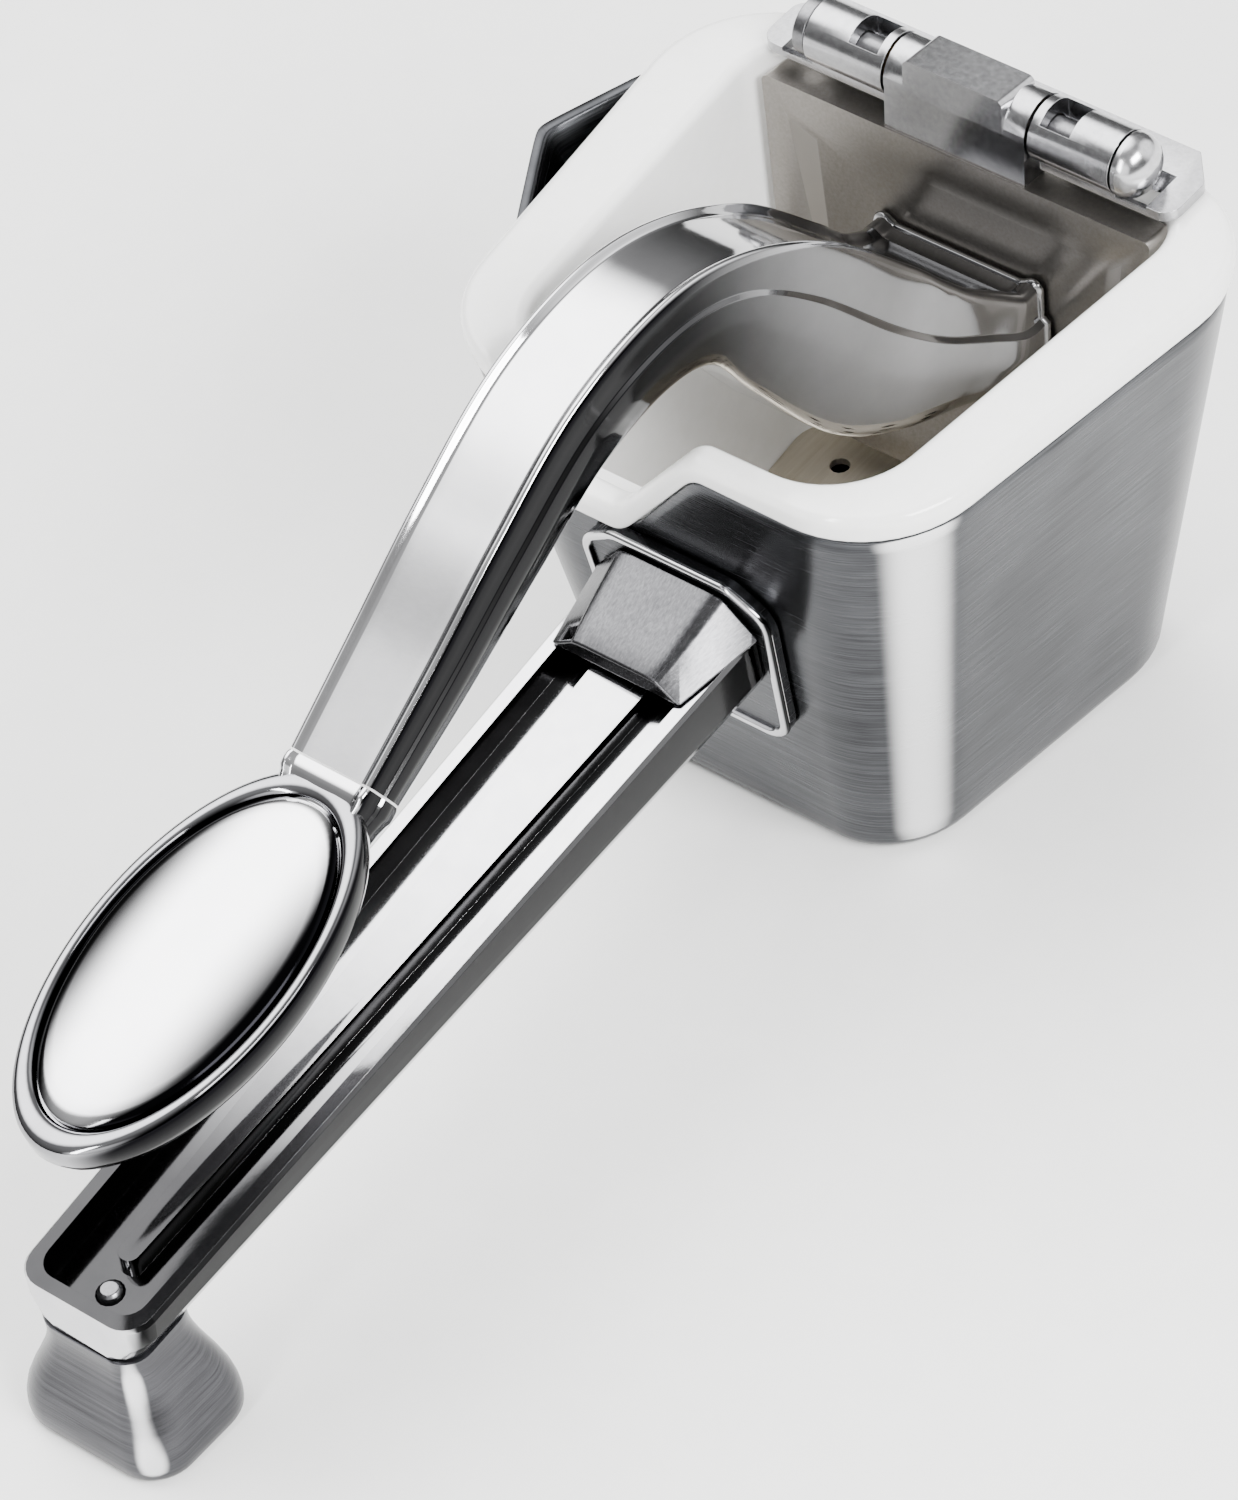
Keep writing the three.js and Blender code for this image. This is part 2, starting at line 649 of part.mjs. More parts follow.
function pressPlate() {
  const body = plateSlab(plateCorners(0, PLATE_CORNER), PLATE_BACK, PLATE_FRONT);
  const tongue = plateSlab([
    [-KNUCKLE_HALF, -PLATE_TOP - 2, 0],
    [KNUCKLE_HALF, -PLATE_TOP - 2, 0],
    [KNUCKLE_HALF, 0, 0],
    [-KNUCKLE_HALF, 0, 0],
  ], PLATE_BACK, PLATE_FRONT - 0.4);
  const tab = plateSlab([
    [-TAB_HALF, 0, 0],
    [TAB_HALF, 0, 0],
    [TAB_HALF, TAB_HEIGHT, 1],
    [-TAB_HALF, TAB_HEIGHT, 1],
  ], -2.5, PLATE_FRONT);
  const panelInset = PANEL_BORDER + PANEL_BEVEL;
  const panel = plateSlab(plateCorners(panelInset, 2), PANEL_FACE, PLATE_FRONT + 0.01, PANEL_BEVEL);
  return body.add(tongue)
    .add(alongPin(BARREL_RADIUS, -KNUCKLE_HALF, KNUCKLE_HALF))
    .add(tab)
    .subtract(panel)
    .subtract(alongPin(BUSH_BORE, -KNUCKLE_HALF - 1, KNUCKLE_HALF + 1))
    .subtract(joined(plateScrewPlaces().map(screwHole)));
}

// Stations of the arm as curves: its middle line, and the size of its section.
function armCurves() {
  const middle = ARM_STATIONS.map(([forward, rise]) => (
    new THREE.Vector3(0, AXIS.y - forward, CUP_HEIGHT + rise)));
  const size = ARM_STATIONS.map(([, , depth, half]) => new THREE.Vector3(depth, half, 0));
  const root = onPlate(0, -ARM_ROOT_DROP, PANEL_FACE + GAP);
  const leaving = root.clone().addScaledVector(PLATE_OUT, 5);
  middle.unshift(root, leaving);
  size.unshift(
    new THREE.Vector3(ARM_ROOT_DEPTH, ARM_ROOT_HALF, 0),
    new THREE.Vector3(ARM_ROOT_DEPTH, ARM_ROOT_HALF, 0),
  );
  return { middle: new THREE.CatmullRomCurve3(middle), size: new THREE.CatmullRomCurve3(size) };
}

// The arm's section on a unit square: round edges, and a shallow dish between two top rims.
function armSection() {
  return roundedOutline([
    [-1, -0.5, 0.28],
    [1, -0.5, 0.28],
    [1, 0.5, 0.16],
    [0.72, 0.5, 0.05],
    [0.5, 0.44, 0.1],
    [-0.5, 0.44, 0.1],
    [-0.72, 0.5, 0.05],
    [-1, 0.5, 0.16],
  ]);
}

// Sweeps a section along a line in the middle plane.
function sweep(section, steps, stationAt) {
  return shapedPrism(section, steps, (point) => {
    const { centre, along, depth, half } = stationAt(point.z);
    const up = new THREE.Vector3(0, along.z, -along.y).normalize();
    point.copy(centre.clone()
      .addScaledVector(up, point.y * depth)
      .add(new THREE.Vector3(point.x * half, 0, 0)));
  });
}

function armStation(share) {
  const { middle, size } = armCurves();
  const along = share === 0 ? PLATE_OUT : middle.getTangent(share);
  const section = size.getPoint(share);
  return { centre: middle.getPoint(share), along, depth: section.x, half: section.y };
}

function leverArm() {
  return sweep(armSection(), ARM_STEPS, armStation)
    .subtract(joined(plateScrewPlaces().map(screwHole)));
}

function plateScrewPlaces() {
  return PLATE_SCREW_DROPS.map((drop) => ({
    start: onPlate(0, -drop, PLATE_BACK),
    out: PLATE_OUT,
    length: PANEL_FACE - PLATE_BACK + 8,
  }));
}

// ---- Screws ----

function screwHole({ start, out, length }) {
  return turned([
    [0, -1],
    [SCREW_HEAD + GAP + 0.8, -1],
    [SCREW_HEAD + GAP, 0],
    [SCREW_HOLE, SCREW_HEAD_DEPTH],
    [SCREW_HOLE, length + GAP],
    [0, length + GAP],
  ], start, out);
}

function screw({ start, out, length }) {
  const seat = 0.2;
  return turned([
    [0, seat],
    [SCREW_HEAD - seat, seat],
    [SCREW_RADIUS, SCREW_HEAD_DEPTH],
    [SCREW_RADIUS, length - 0.5],
    [SCREW_RADIUS - 0.5, length],
    [0, length],
  ], start, out);
}

function handleScrewPlaces() {
  const out = new THREE.Vector3(0, -Math.cos(DRAFT_ANGLE), -Math.sin(DRAFT_ANGLE));
  return [-HANDLE_SCREW_X, HANDLE_SCREW_X].map((x) => ({
    start: new THREE.Vector3(x, -endWallY(HANDLE_SCREW_Z) + SHELL_WALL, HANDLE_SCREW_Z),
    out,
    length: HANDLE_SCREW_LENGTH,
  }));
}

// ---- Thumb pad ----

// Where the pad's middle lies: it carries on from the end of the arm.
function padCentre() {
  const end = armStation(1);
  return end.centre.clone().add(new THREE.Vector3(
    0,
    -(PAD_LENGTH / 2 + 1.6) * Math.cos(PAD_TILT),
    -(PAD_LENGTH / 2) * Math.sin(PAD_TILT),
  ));
}

// Turns a pad solid, made level around the origin, into its place.
function padPlace(geometry) {
  const centre = padCentre();
  geometry.rotateX(PAD_TILT);
  geometry.translate(centre.x, centre.y, centre.z);
  return solid(geometry);
}

// An oval turned form from [inset, height] points.
function oval(levels) {
  const points = levels.map(([inset, height]) => new THREE.Vector2(inset, height));
  const geometry = new THREE.LatheGeometry(points, PAD_SEGMENTS);
  geometry.rotateX(Math.PI / 2);
  const positions = geometry.attributes.position;
  for (let i = 0; i < positions.count; i += 1) {
    const x = positions.getX(i);
    const y = positions.getY(i);
    const radius = Math.hypot(x, y);
    const grow = radius < 1e-6 ? 0 : (PAD_LENGTH - PAD_WIDTH) / PAD_WIDTH;
    positions.setXYZ(i, x, y * (1 + grow), positions.getZ(i));
  }
  return geometry;
}

function thumbPad() {
  const half = PAD_WIDTH / 2;
  const top = PAD_THICKNESS / 2;
  const body = padPlace(oval([
    [0, -top],
    [half - 5, -top],
    [half - 1.6, -top + 1.8],
    [half, -top + 4.4],
    [half, top - 1.2],
    [half - 0.8, top],
    [0, top],
  ]));
  const recess = padPlace(oval([
    [0, top - PAD_RECESS],
    [half - PAD_RING, top - PAD_RECESS],
    [half - PAD_RING, top + 1],
    [0, top + 1],
  ]));
  const end = armStation(1);
  const neck = sweep(armSection(), 4, (share) => ({
    centre: end.centre.clone().addScaledVector(end.along, GAP + 9 * share),
    along: end.along,
    depth: end.depth - 2.4 * share,
    half: end.half,
  }));
  const face = padPlace(oval([
    [0, top - 3],
    [half - PAD_RING, top - 3],
    [half - PAD_RING, top + 6],
    [0, top + 6],
  ]));
  return neck.subtract(face).add(body).subtract(recess);
}

function padFacePlate() {
  const edge = PAD_WIDTH / 2 - PAD_RING - 0.2;
  const base = PAD_THICKNESS / 2 - PAD_RECESS + GAP;
  const levels = [[0, base], [edge, base], [edge, base + 1]];
  const steps = 6;
  for (let i = 1; i <= steps; i += 1) {
    const share = i / steps;
    const radius = i === steps ? 0 : edge * (1 - share);
    levels.push([radius, base + 1 + PAD_DOME * (1 - (1 - share) ** 2)]);
  }
  return padPlace(oval(levels));
}

// ---- Lower handle ----

// How far along the handle a place is, 0 at the cup's front top edge and 1 at the end wall.
function handleShare(y) {
  return (FRONT_Y - y) / HANDLE_END;
}

function handleTop(y) {
  return THREE.MathUtils.lerp(HANDLE_ROOT_TOP, HANDLE_END_TOP, handleShare(y));
}

function handleDepth(y) {
  return THREE.MathUtils.lerp(HANDLE_ROOT_DEPTH, HANDLE_END_DEPTH, handleShare(y));
}

function handleHalf(y) {
  return THREE.MathUtils.lerp(HANDLE_ROOT_HALF, HANDLE_END_HALF, handleShare(y));
}

// A slab that follows the handle. Heights are functions of the place along it.
function handleSlab(corners, levels) {
  const steps = levels.length - 1;
  return shapedPrism(roundedOutline(corners), steps, (point) => {
    const [heightAt, narrowing] = levels[Math.round(point.z * steps)];
    point.z = heightAt(point.y);
    point.x *= 1 - narrowing / handleHalf(point.y);
  });
}

function lowerHandle() {
  const root = FRONT_Y + END_DRAFT;
  const end = FRONT_Y - HANDLE_END;
  const cup = cupForm(SHELL_SIDES, -FLANGE_THICKNESS - 2 * GAP, -FLANGE_THICKNESS - 2 * GAP, CUP_CORNER, [
    [0, 0],
    [CUP_HEIGHT, 0],
  ]);
  const bottomAt = (y) => handleTop(y) - handleDepth(y);
  const outside = handleSlab([
    [-handleHalf(end), end, HANDLE_CORNER],
    [handleHalf(end), end, HANDLE_CORNER],
    [handleHalf(root), root, 0],
    [-handleHalf(root), root, 0],
  ], [
    [bottomAt, 3.5],
    [(y) => bottomAt(y) + 1, 1.6],
    [(y) => bottomAt(y) + 3.5, 0.3],
    [(y) => handleTop(y) - 0.6, 0],
    [handleTop, 0.5],
  ]);
  const troughStart = FRONT_Y - TROUGH_START;
  const troughEnd = end + HANDLE_WALL;
  const floorAt = (y) => handleTop(y) - THREE.MathUtils.lerp(TROUGH_ROOT_DEPTH, TROUGH_END_DEPTH,
    handleShare(y));
  const above = (y) => handleTop(y) + 5;
  const trough = handleSlab([
    [-handleHalf(troughEnd) + HANDLE_WALL, troughEnd, HANDLE_CORNER - 1],
    [handleHalf(troughEnd) - HANDLE_WALL, troughEnd, HANDLE_CORNER - 1],
    [handleHalf(troughStart) - HANDLE_WALL, troughStart, 1],
    [-handleHalf(troughStart) + HANDLE_WALL, troughStart, 1],
  ], [
    [floorAt, 0.8],
    [above, 0],
  ]);
  const ribTip = end + RIB_TIP_SETBACK;
  const rib = handleSlab([
    [-RIB_TIP_HALF, ribTip, RIB_TIP_HALF * 0.9],
    [RIB_TIP_HALF, ribTip, RIB_TIP_HALF * 0.9],
    [RIB_ROOT_HALF, troughStart + 2, 0],
    [-RIB_ROOT_HALF, troughStart + 2, 0],
  ], [
    [(y) => floorAt(y) - 1, 0],
    [(y) => floorAt(y) + 0.6 * RIB_RISE, 0],
    [(y) => floorAt(y) + RIB_RISE, 0.6],
  ]);
  return outside.subtract(trough).add(rib).subtract(cup)
    .subtract(joined(handleScrewPlaces().map(screwHole)))
    .subtract(screwHole(footScrewPlace()));
}

function handleFlange() {
  const flange = frontWallPlate([
    [-FLANGE_HALF_WIDTH + 1.5, FLANGE_BOTTOM, 5],
    [FLANGE_HALF_WIDTH - 1.5, FLANGE_BOTTOM, 5],
    [FLANGE_HALF_WIDTH, FLANGE_TOP - 4, 5],
    [FLANGE_HALF_WIDTH - 6, FLANGE_TOP, 5],
    [-FLANGE_HALF_WIDTH + 6, FLANGE_TOP, 5],
    [-FLANGE_HALF_WIDTH, FLANGE_TOP - 4, 5],
  ], GAP + FLANGE_THICKNESS, FLANGE_THICKNESS);
  return flange.subtract(joined(handleScrewPlaces().map(screwHole)));
}

function handleHood() {
  const cup = cupForm(SHELL_SIDES, -FLANGE_THICKNESS - 2 * GAP, -FLANGE_THICKNESS - 2 * GAP, CUP_CORNER, [
    [0, 0],
    [CUP_HEIGHT, 0],
  ]);
  const start = FRONT_Y + 8;
  const end = FRONT_Y - HOOD_LENGTH + 5;
  const outline = roundedOutline([
    [-1, 0, 0],
    [1, 0, 0],
    [HOOD_TOP_SHARE, 1, 0.25],
    [-HOOD_TOP_SHARE, 1, 0.25],
  ]);
  const body = shapedPrism(outline, 5, (point) => {
    const share = point.z;
    const y = THREE.MathUtils.lerp(start, end, share);
    const half = THREE.MathUtils.lerp(HOOD_ROOT_HALF, HOOD_LIP_HALF, share);
    const rise = THREE.MathUtils.lerp(HOOD_ROOT_RISE + 1, HOOD_LIP_RISE, share ** 0.8);
    point.set(point.x * half, y, handleTop(y) + GAP + point.y * rise);
  });
  return body.subtract(cup);
}

// ---- Foot ----

function footCentreY() {
  return FRONT_Y - HANDLE_END + FOOT_SETBACK;
}

function footScrewPlace() {
  const seat = 2.5;
  const y = footCentreY();
  return {
    start: new THREE.Vector3(0, y, seat),
    out: new THREE.Vector3(0, 0, 1),
    length: handleTop(y) - handleDepth(y) + 3.6 - seat,
  };
}

function footBlock() {
  const y = footCentreY();
  const bottomAt = (place) => handleTop(place) - handleDepth(place) - GAP;
  const outline = roundedOutline([
    [-FOOT_HALF_WIDTH, -FOOT_HALF_DEPTH, FOOT_CORNER],
    [FOOT_HALF_WIDTH, -FOOT_HALF_DEPTH, FOOT_CORNER],
    [FOOT_HALF_WIDTH, FOOT_HALF_DEPTH, FOOT_CORNER],
    [-FOOT_HALF_WIDTH, FOOT_HALF_DEPTH, FOOT_CORNER],
  ]);
  const levels = [
    [0, 0.93],
    [0.07, 1],
    [0.2, 1],
    [0.42, 0.88],
    [0.6, 0.76],
    [0.82, FOOT_WAIST],
    [1, FOOT_WAIST],
  ];
  const steps = levels.length - 1;
  const body = shapedPrism(outline, steps, (point) => {
    const [share, size] = levels[Math.round(point.z * steps)];
    const place = y + point.y * size;
    point.set(point.x * size, place, share * bottomAt(place));
  });
  const counterbore = rod(SCREW_HEAD + GAP, 4, new THREE.Vector3(0, y, -1), new THREE.Vector3(0, 0, 1));
  return body.subtract(screwHole(footScrewPlace())).subtract(counterbore);
}

// ---- The press ----

addPiece('outer_shell', outerShell(), 0x8f9092, 0.32, 1);
addPiece('inner_liner', innerLiner(), 0xf2f2f0, 0.18, 0);
addPiece('strainer_plate', strainerPlate(), 0xcfc8ba, 0.38, 1);
addPiece('hinge_bracket', hingeBracket(), 0xb6b6b4, 0.4, 1);
rivetPlaces().forEach((place, i) => {
  addPiece(`apron_rivet_${i + 1}`, apronRivet(place), 0xa9a9a8, 0.35, 1);
});
addPiece('hinge_pin', hingePin(), 0xc9c9c8, 0.25, 1);
addPiece('pin_dome_cap', pinDomeCap(), 0xc4c4c3, 0.3, 1);
addPiece('handle_flange', handleFlange(), 0xd4d4d4, 0.2, 1);
addPiece('handle_hood', handleHood(), 0x9a9a99, 0.35, 1);
addPiece('lower_handle', lowerHandle(), 0xd8d8da, 0.06, 1);
handleScrewPlaces().forEach((place, i) => {
  addPiece(`handle_screw_${i + 1}`, screw(place), 0x9d9d9d, 0.35, 1);
});
addPiece('foot_block', footBlock(), 0x8d8d8c, 0.35, 1);
addPiece('foot_screw', screw(footScrewPlace()), 0x9d9d9d, 0.35, 1);
addPiece('press_plate', pressPlate(), 0x9b9893, 0.42, 1);
addPiece('hinge_bush_left', hingeBush(-KNUCKLE_HALF), 0xb08a4e, 0.4, 1);
addPiece('hinge_bush_right', hingeBush(KNUCKLE_HALF - BUSH_LENGTH), 0xb08a4e, 0.4, 1);
addPiece('lever_arm', leverArm(), 0xdcdcde, 0.05, 1);
plateScrewPlaces().forEach((place, i) => {
  addPiece(`plate_screw_${i + 1}`, screw(place), 0x9d9d9d, 0.35, 1);
});
addPiece('thumb_pad', thumbPad(), 0xd8d8da, 0.06, 1);
addPiece('pad_face_plate', padFacePlate(), 0xe4e4e6, 0.04, 1);

// The origin is the middle of the bottom of the whole press.
const bounds = new THREE.Box3().setFromObject(part);
const middle = bounds.getCenter(new THREE.Vector3());
part.position.set(-middle.x, -middle.y, -bounds.min.z);
part.updateMatrixWorld(true);

export default part;
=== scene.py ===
"""Looks of a hand press: a spouted cup, a press plate on a curved lever, and a lower handle on a foot."""

import json
import logging
import math
from dataclasses import dataclass, field
from enum import Enum
from typing import Callable, Iterable, Sequence

import bmesh
import bpy
from mathutils import Matrix, Vector


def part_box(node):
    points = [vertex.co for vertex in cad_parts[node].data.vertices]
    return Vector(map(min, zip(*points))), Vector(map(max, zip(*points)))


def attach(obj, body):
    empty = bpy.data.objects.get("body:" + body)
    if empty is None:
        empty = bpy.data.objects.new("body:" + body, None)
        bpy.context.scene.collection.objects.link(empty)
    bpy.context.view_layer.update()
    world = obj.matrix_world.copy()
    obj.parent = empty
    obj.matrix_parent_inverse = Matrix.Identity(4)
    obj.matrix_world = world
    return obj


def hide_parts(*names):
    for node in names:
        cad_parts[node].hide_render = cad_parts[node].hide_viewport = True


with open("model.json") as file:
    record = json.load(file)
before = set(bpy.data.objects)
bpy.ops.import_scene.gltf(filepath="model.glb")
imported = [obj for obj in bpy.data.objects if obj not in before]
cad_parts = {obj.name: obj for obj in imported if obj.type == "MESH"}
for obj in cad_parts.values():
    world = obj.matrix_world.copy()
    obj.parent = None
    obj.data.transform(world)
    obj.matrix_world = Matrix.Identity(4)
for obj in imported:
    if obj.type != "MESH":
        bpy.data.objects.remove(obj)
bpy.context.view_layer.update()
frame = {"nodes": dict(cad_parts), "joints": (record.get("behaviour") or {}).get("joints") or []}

LOG = logging.getLogger("press")
MM = 0.001
MERGE_DISTANCE = 1e-6
CUP_BODY = "cup"
LEVER_BODY = "lever"
Corner = tuple[float, float, float]
Levels = tuple[tuple[float, float], ...]
Ring = list[Vector]
Piece = bpy.types.Object
Tree = bpy.types.NodeTree
Socket = bpy.types.NodeSocket


# ---- Finishes ----


# How every finish mixes its marks and clouds, and where its painted light and shade, set by the way a face
# looks, start and end.
MARK_DETAIL = 5.0
MARK_ROUGHNESS = 0.62
MARK_HEIGHT = 0.1
CLOUD_DETAIL = 3.0
CLOUD_SHARE = 0.35
TONE_ENDS = (0.3, 0.68)
SHEEN_ENDS = (0.3, 0.7)
COAT_ROUGHNESS = 0.05
QUARTER_TURN = 0.25
PAINTED_FACING_EDGES = (0.92, 0.995)
FLANK_FADE_MM = 50
FLANK_LEFT_OVER = 0.12
TOP_SHADE_LOOKS_UP = (0.25, 0.6)


class Lay(Enum):
    """Which way the marks of a finish run: how fine they are along x, y and z."""

    ACROSS = (0.02, 0.02, 1.0)
    LENGTHWAYS = (1.0, 0.04, 1.0)
    EVEN = (1.0, 1.0, 1.0)


def linear(code: str) -> tuple[float, float, float, float]:
    """Turn an sRGB hex code into a linear colour.

    Args:
        code: six hex digits.

    Returns:
        Red, green, blue and alpha, linear.
    """
    channels = [int(code[i:i + 2], 16) / 255 for i in (0, 2, 4)]
    bent = [c / 12.92 if c <= 0.04045 else ((c + 0.055) / 1.055) ** 2.4 for c in channels]
    return (*bent, 1.0)


def add_node(tree: Tree, kind: str, settings: dict | None = None,
             inputs: dict | None = None) -> bpy.types.Node:
    """Add a node with its settings, input values and incoming links.

    Args:
        tree: the material's node tree.
        kind: the node's type name.
        settings: attributes of the node.
        inputs: values, or sockets to link from, by input name or index.

    Returns:
        The new node.
    """
    node = tree.nodes.new(kind)
    for key, value in (settings or {}).items():
        setattr(node, key, value)
    for key, value in (inputs or {}).items():
        if isinstance(value, Socket):
            tree.links.new(value, node.inputs[key])
        else:
            node.inputs[key].default_value = value
    return node


def mapped(tree: Tree, value: Socket, span: Sequence[float], low: float = 0.0, high: float = 1.0,
           ease: str = "SMOOTHSTEP") -> Socket:
    """Map a value from one span to another.

    Args:
        tree: the node tree.
        value: the value.
        span: where the values start and end.
        low: what the start becomes.
        high: what the end becomes.
        ease: how the values between run.

    Returns:
        The mapped value.
    """
    return add_node(tree, "ShaderNodeMapRange", {"interpolation_type": ease}, {
        "Value": value, "From Min": span[0], "From Max": span[1], "To Min": low, "To Max": high}).outputs[0]


def mixed(tree: Tree, share: Socket, base: Socket,
          over: str) -> Socket:
    """Lay one colour over another. In a colour mix, inputs 6 and 7 and output 2 are the ones in use.

    Args:
        tree: the material's node tree.
        share: how much of the upper colour shows.
        base: the colour below.
        over: hex code of the colour above.

    Returns:
        The mixed colour.
    """
    return add_node(tree, "ShaderNodeMix", {"data_type": "RGBA"}, {
        0: share, 6: base, 7: linear(over)}).outputs[2]


@dataclass(frozen=True)
class Finish:
    """A surface: its colours, how it reflects, and the marks that its making left.

    mark_mm is the spacing of the finest marks, drawn coarse enough to show, and relief is how strongly they
    stand up. cloud_mm is the size of the slow changes of tone. stretch draws the highlights out across a
    brushed grain. flank is painted light and shade on the sides: a painted dark reflection on the chrome, a
    painted lighter tone on the die-cast plate. flank_range is how far a face has to look left or right for the
    colour to start and to be full, and flank_ends_mm is the y where it has faded. top_shade_mm lays the same
    colour on the top as painted shade: the y where it is clear, the y where it is full, and how much of it.
    painted_light_and_shade colours the faces that look towards painted_light_faces: a painted highlight on the
    shell and the foot, a painted shade on the plate's steps that look down at the table.
    """

    name: str
    light: str
    dark: str
    roughness: float
    spread: float
    mark_mm: float
    relief: float
    metallic: float = 1.0
    lay: Lay = Lay.EVEN
    coat: float = 0.0
    cloud_mm: float = 18.0
    flank: str = ""
    flank_range: tuple[float, float] = (0.5, 0.86)
    flank_ends_mm: float = 400.0
    top_shade_mm: tuple[float, float, float] = (400.0, 500.0, 0.0)
    stretch: float = 0.0
    painted_light_and_shade: str = ""
    painted_light_faces: tuple[float, float, float] = (0.8, -0.6, 0.0)

    def material(self) -> bpy.types.Material:
        """Build the material, or return it if it has been built.

        Returns:
            The material of this finish.
        """
        if self.name in bpy.data.materials:
            return bpy.data.materials[self.name]
        made = bpy.data.materials.new(self.name)
        made.use_nodes = True
        tree = made.node_tree
        tree.nodes.clear()
        place = add_node(tree, "ShaderNodeTexCoord").outputs["Object"]
        per_metre = 1 / (self.mark_mm * MM)
        turned = add_node(tree, "ShaderNodeMapping", inputs={
            "Vector": place, "Scale": [per_metre * share for share in self.lay.value]})
        marks = add_node(tree, "ShaderNodeTexNoise", inputs={
            "Vector": turned.outputs[0], "Scale": 1.0, "Detail": MARK_DETAIL,
            "Roughness": MARK_ROUGHNESS}).outputs["Fac"]
        clouds = add_node(tree, "ShaderNodeTexNoise", inputs={
            "Vector": place, "Scale": 1 / (self.cloud_mm * MM), "Detail": CLOUD_DETAIL}).outputs["Fac"]
        both = add_node(tree, "ShaderNodeMix", {"data_type": "FLOAT"}, {
            0: CLOUD_SHARE, 2: marks, 3: clouds}).outputs[0]
        tone = add_node(tree, "ShaderNodeValToRGB", inputs={"Fac": both})
        for stop, position, code in zip(tone.color_ramp.elements, TONE_ENDS, (self.dark, self.light)):
            stop.position = position
            stop.color = linear(code)
        # Painted light and shade, set by the way each face looks: on the sides, on the top, and on the faces
        # that look one way.
        colour = self._painted_sides_and_top(tree, tone.outputs["Color"]) if self.flank else tone.outputs["Color"]
        colour = self._painted_by_facing(tree, colour) if self.painted_light_and_shade else colour
        sheen = mapped(tree, both, SHEEN_ENDS, self.roughness, self.roughness + self.spread, "LINEAR")
        bump = add_node(tree, "ShaderNodeBump", inputs={
            "Strength": self.relief, "Distance": MARK_HEIGHT * self.mark_mm * MM, "Height": marks})
        shader = add_node(tree, "ShaderNodeBsdfPrincipled", inputs={
            "Base Color": colour, "Metallic": self.metallic,
            "Roughness": sheen, "Normal": bump.outputs[0],
            "Coat Weight": self.coat, "Coat Roughness": COAT_ROUGHNESS})
        if self.stretch > 0:
            shader.inputs["Anisotropic"].default_value = self.stretch
            shader.inputs["Anisotropic Rotation"].default_value = QUARTER_TURN
            around = add_node(tree, "ShaderNodeTangent", {"direction_type": "RADIAL", "axis": "Z"}).outputs[0]
            tree.links.new(around, shader.inputs["Tangent"])
        add_node(tree, "ShaderNodeOutputMaterial", inputs={"Surface": shader.outputs[0]})
        return made

    def _painted_by_facing(self, tree: Tree, colour: Socket) -> Socket:
        """Paint the faces that look one way: a painted highlight at the front corner of the shell and the foot,
        a painted shade on the plate's steps that look down.

        Args:
            tree: the material's node tree.
            colour: the colour of the rest.

        Returns:
            The mixed colour.
        """
        facing = add_node(tree, "ShaderNodeTexCoord").outputs["Normal"]
        near = add_node(tree, "ShaderNodeVectorMath", {"operation": "DOT_PRODUCT"}, {
            0: facing, 1: Vector(self.painted_light_faces).normalized()}).outputs["Value"]
        return mixed(tree, mapped(tree, near, PAINTED_FACING_EDGES, ease="SMOOTHERSTEP"), colour, self.painted_light_and_shade)

    def _painted_sides_and_top(self, tree: Tree, colour: Socket) -> Socket:
        """Paint light and shade on the sides of a piece by the way they look, and painted shade on its top
        along its length.

        Args:
            tree: the material's node tree.
            colour: the colour of the rest.

        Returns:
            The mixed colour.
        """
        facing = add_node(tree, "ShaderNodeTexCoord").outputs["Normal"]
        looks = add_node(tree, "ShaderNodeSeparateXYZ", inputs={0: facing}).outputs
        size = add_node(tree, "ShaderNodeMath", {"operation": "ABSOLUTE"}, {0: looks["X"]}).outputs[0]
        share = mapped(tree, size, self.flank_range)
        place = add_node(tree, "ShaderNodeTexCoord").outputs["Object"]
        along = add_node(tree, "ShaderNodeSeparateXYZ", inputs={0: place}).outputs["Y"]
        fade = ((self.flank_ends_mm - FLANK_FADE_MM) * MM, self.flank_ends_mm * MM)
        front = mapped(tree, along, fade, 1.0, FLANK_LEFT_OVER)
        share = add_node(tree, "ShaderNodeMath", {"operation": "MULTIPLY"}, {0: share, 1: front}).outputs[0]
        clear, full, amount = self.top_shade_mm
        (rear, at_rear), (ahead, at_ahead) = sorted([(clear * MM, 0.0), (full * MM, amount)])
        top_shade = mapped(tree, along, (rear, ahead), at_rear, at_ahead)
        above = mapped(tree, looks["Z"], TOP_SHADE_LOOKS_UP)
        top_shade = add_node(tree, "ShaderNodeMath", {"operation": "MULTIPLY"}, {0: top_shade, 1: above}).outputs[0]
        share = add_node(tree, "ShaderNodeMath", {"operation": "MAXIMUM"}, {0: share, 1: top_shade}).outputs[0]
        return mixed(tree, share, colour, self.flank)


# Stainless sheet, brushed level round the cup: fine streaks lie across each wall, so a highlight spreads up
# and down it, and a painted highlight stands on the faces that look to the front right corner.
BRUSHED_SHELL = Finish(
    "stainless_brushed_across", "58595C", "232426", roughness=0.22, spread=0.08,
    mark_mm=0.26, relief=0.12, lay=Lay.ACROSS, stretch=0.6, painted_light_and_shade="EDEDEE", painted_light_faces=(0.84, -0.54, 0.0))
# Vitreous enamel fired on steel: clean white glass, whose faint orange peel softens the edge of a reflection.
WHITE_ENAMEL = Finish(
    "enamel_white_fired", "FBFBFA", "F5F5F3", metallic=0.0, roughness=0.12, spread=0.06,
    mark_mm=2.2, relief=0.04, coat=0.4)
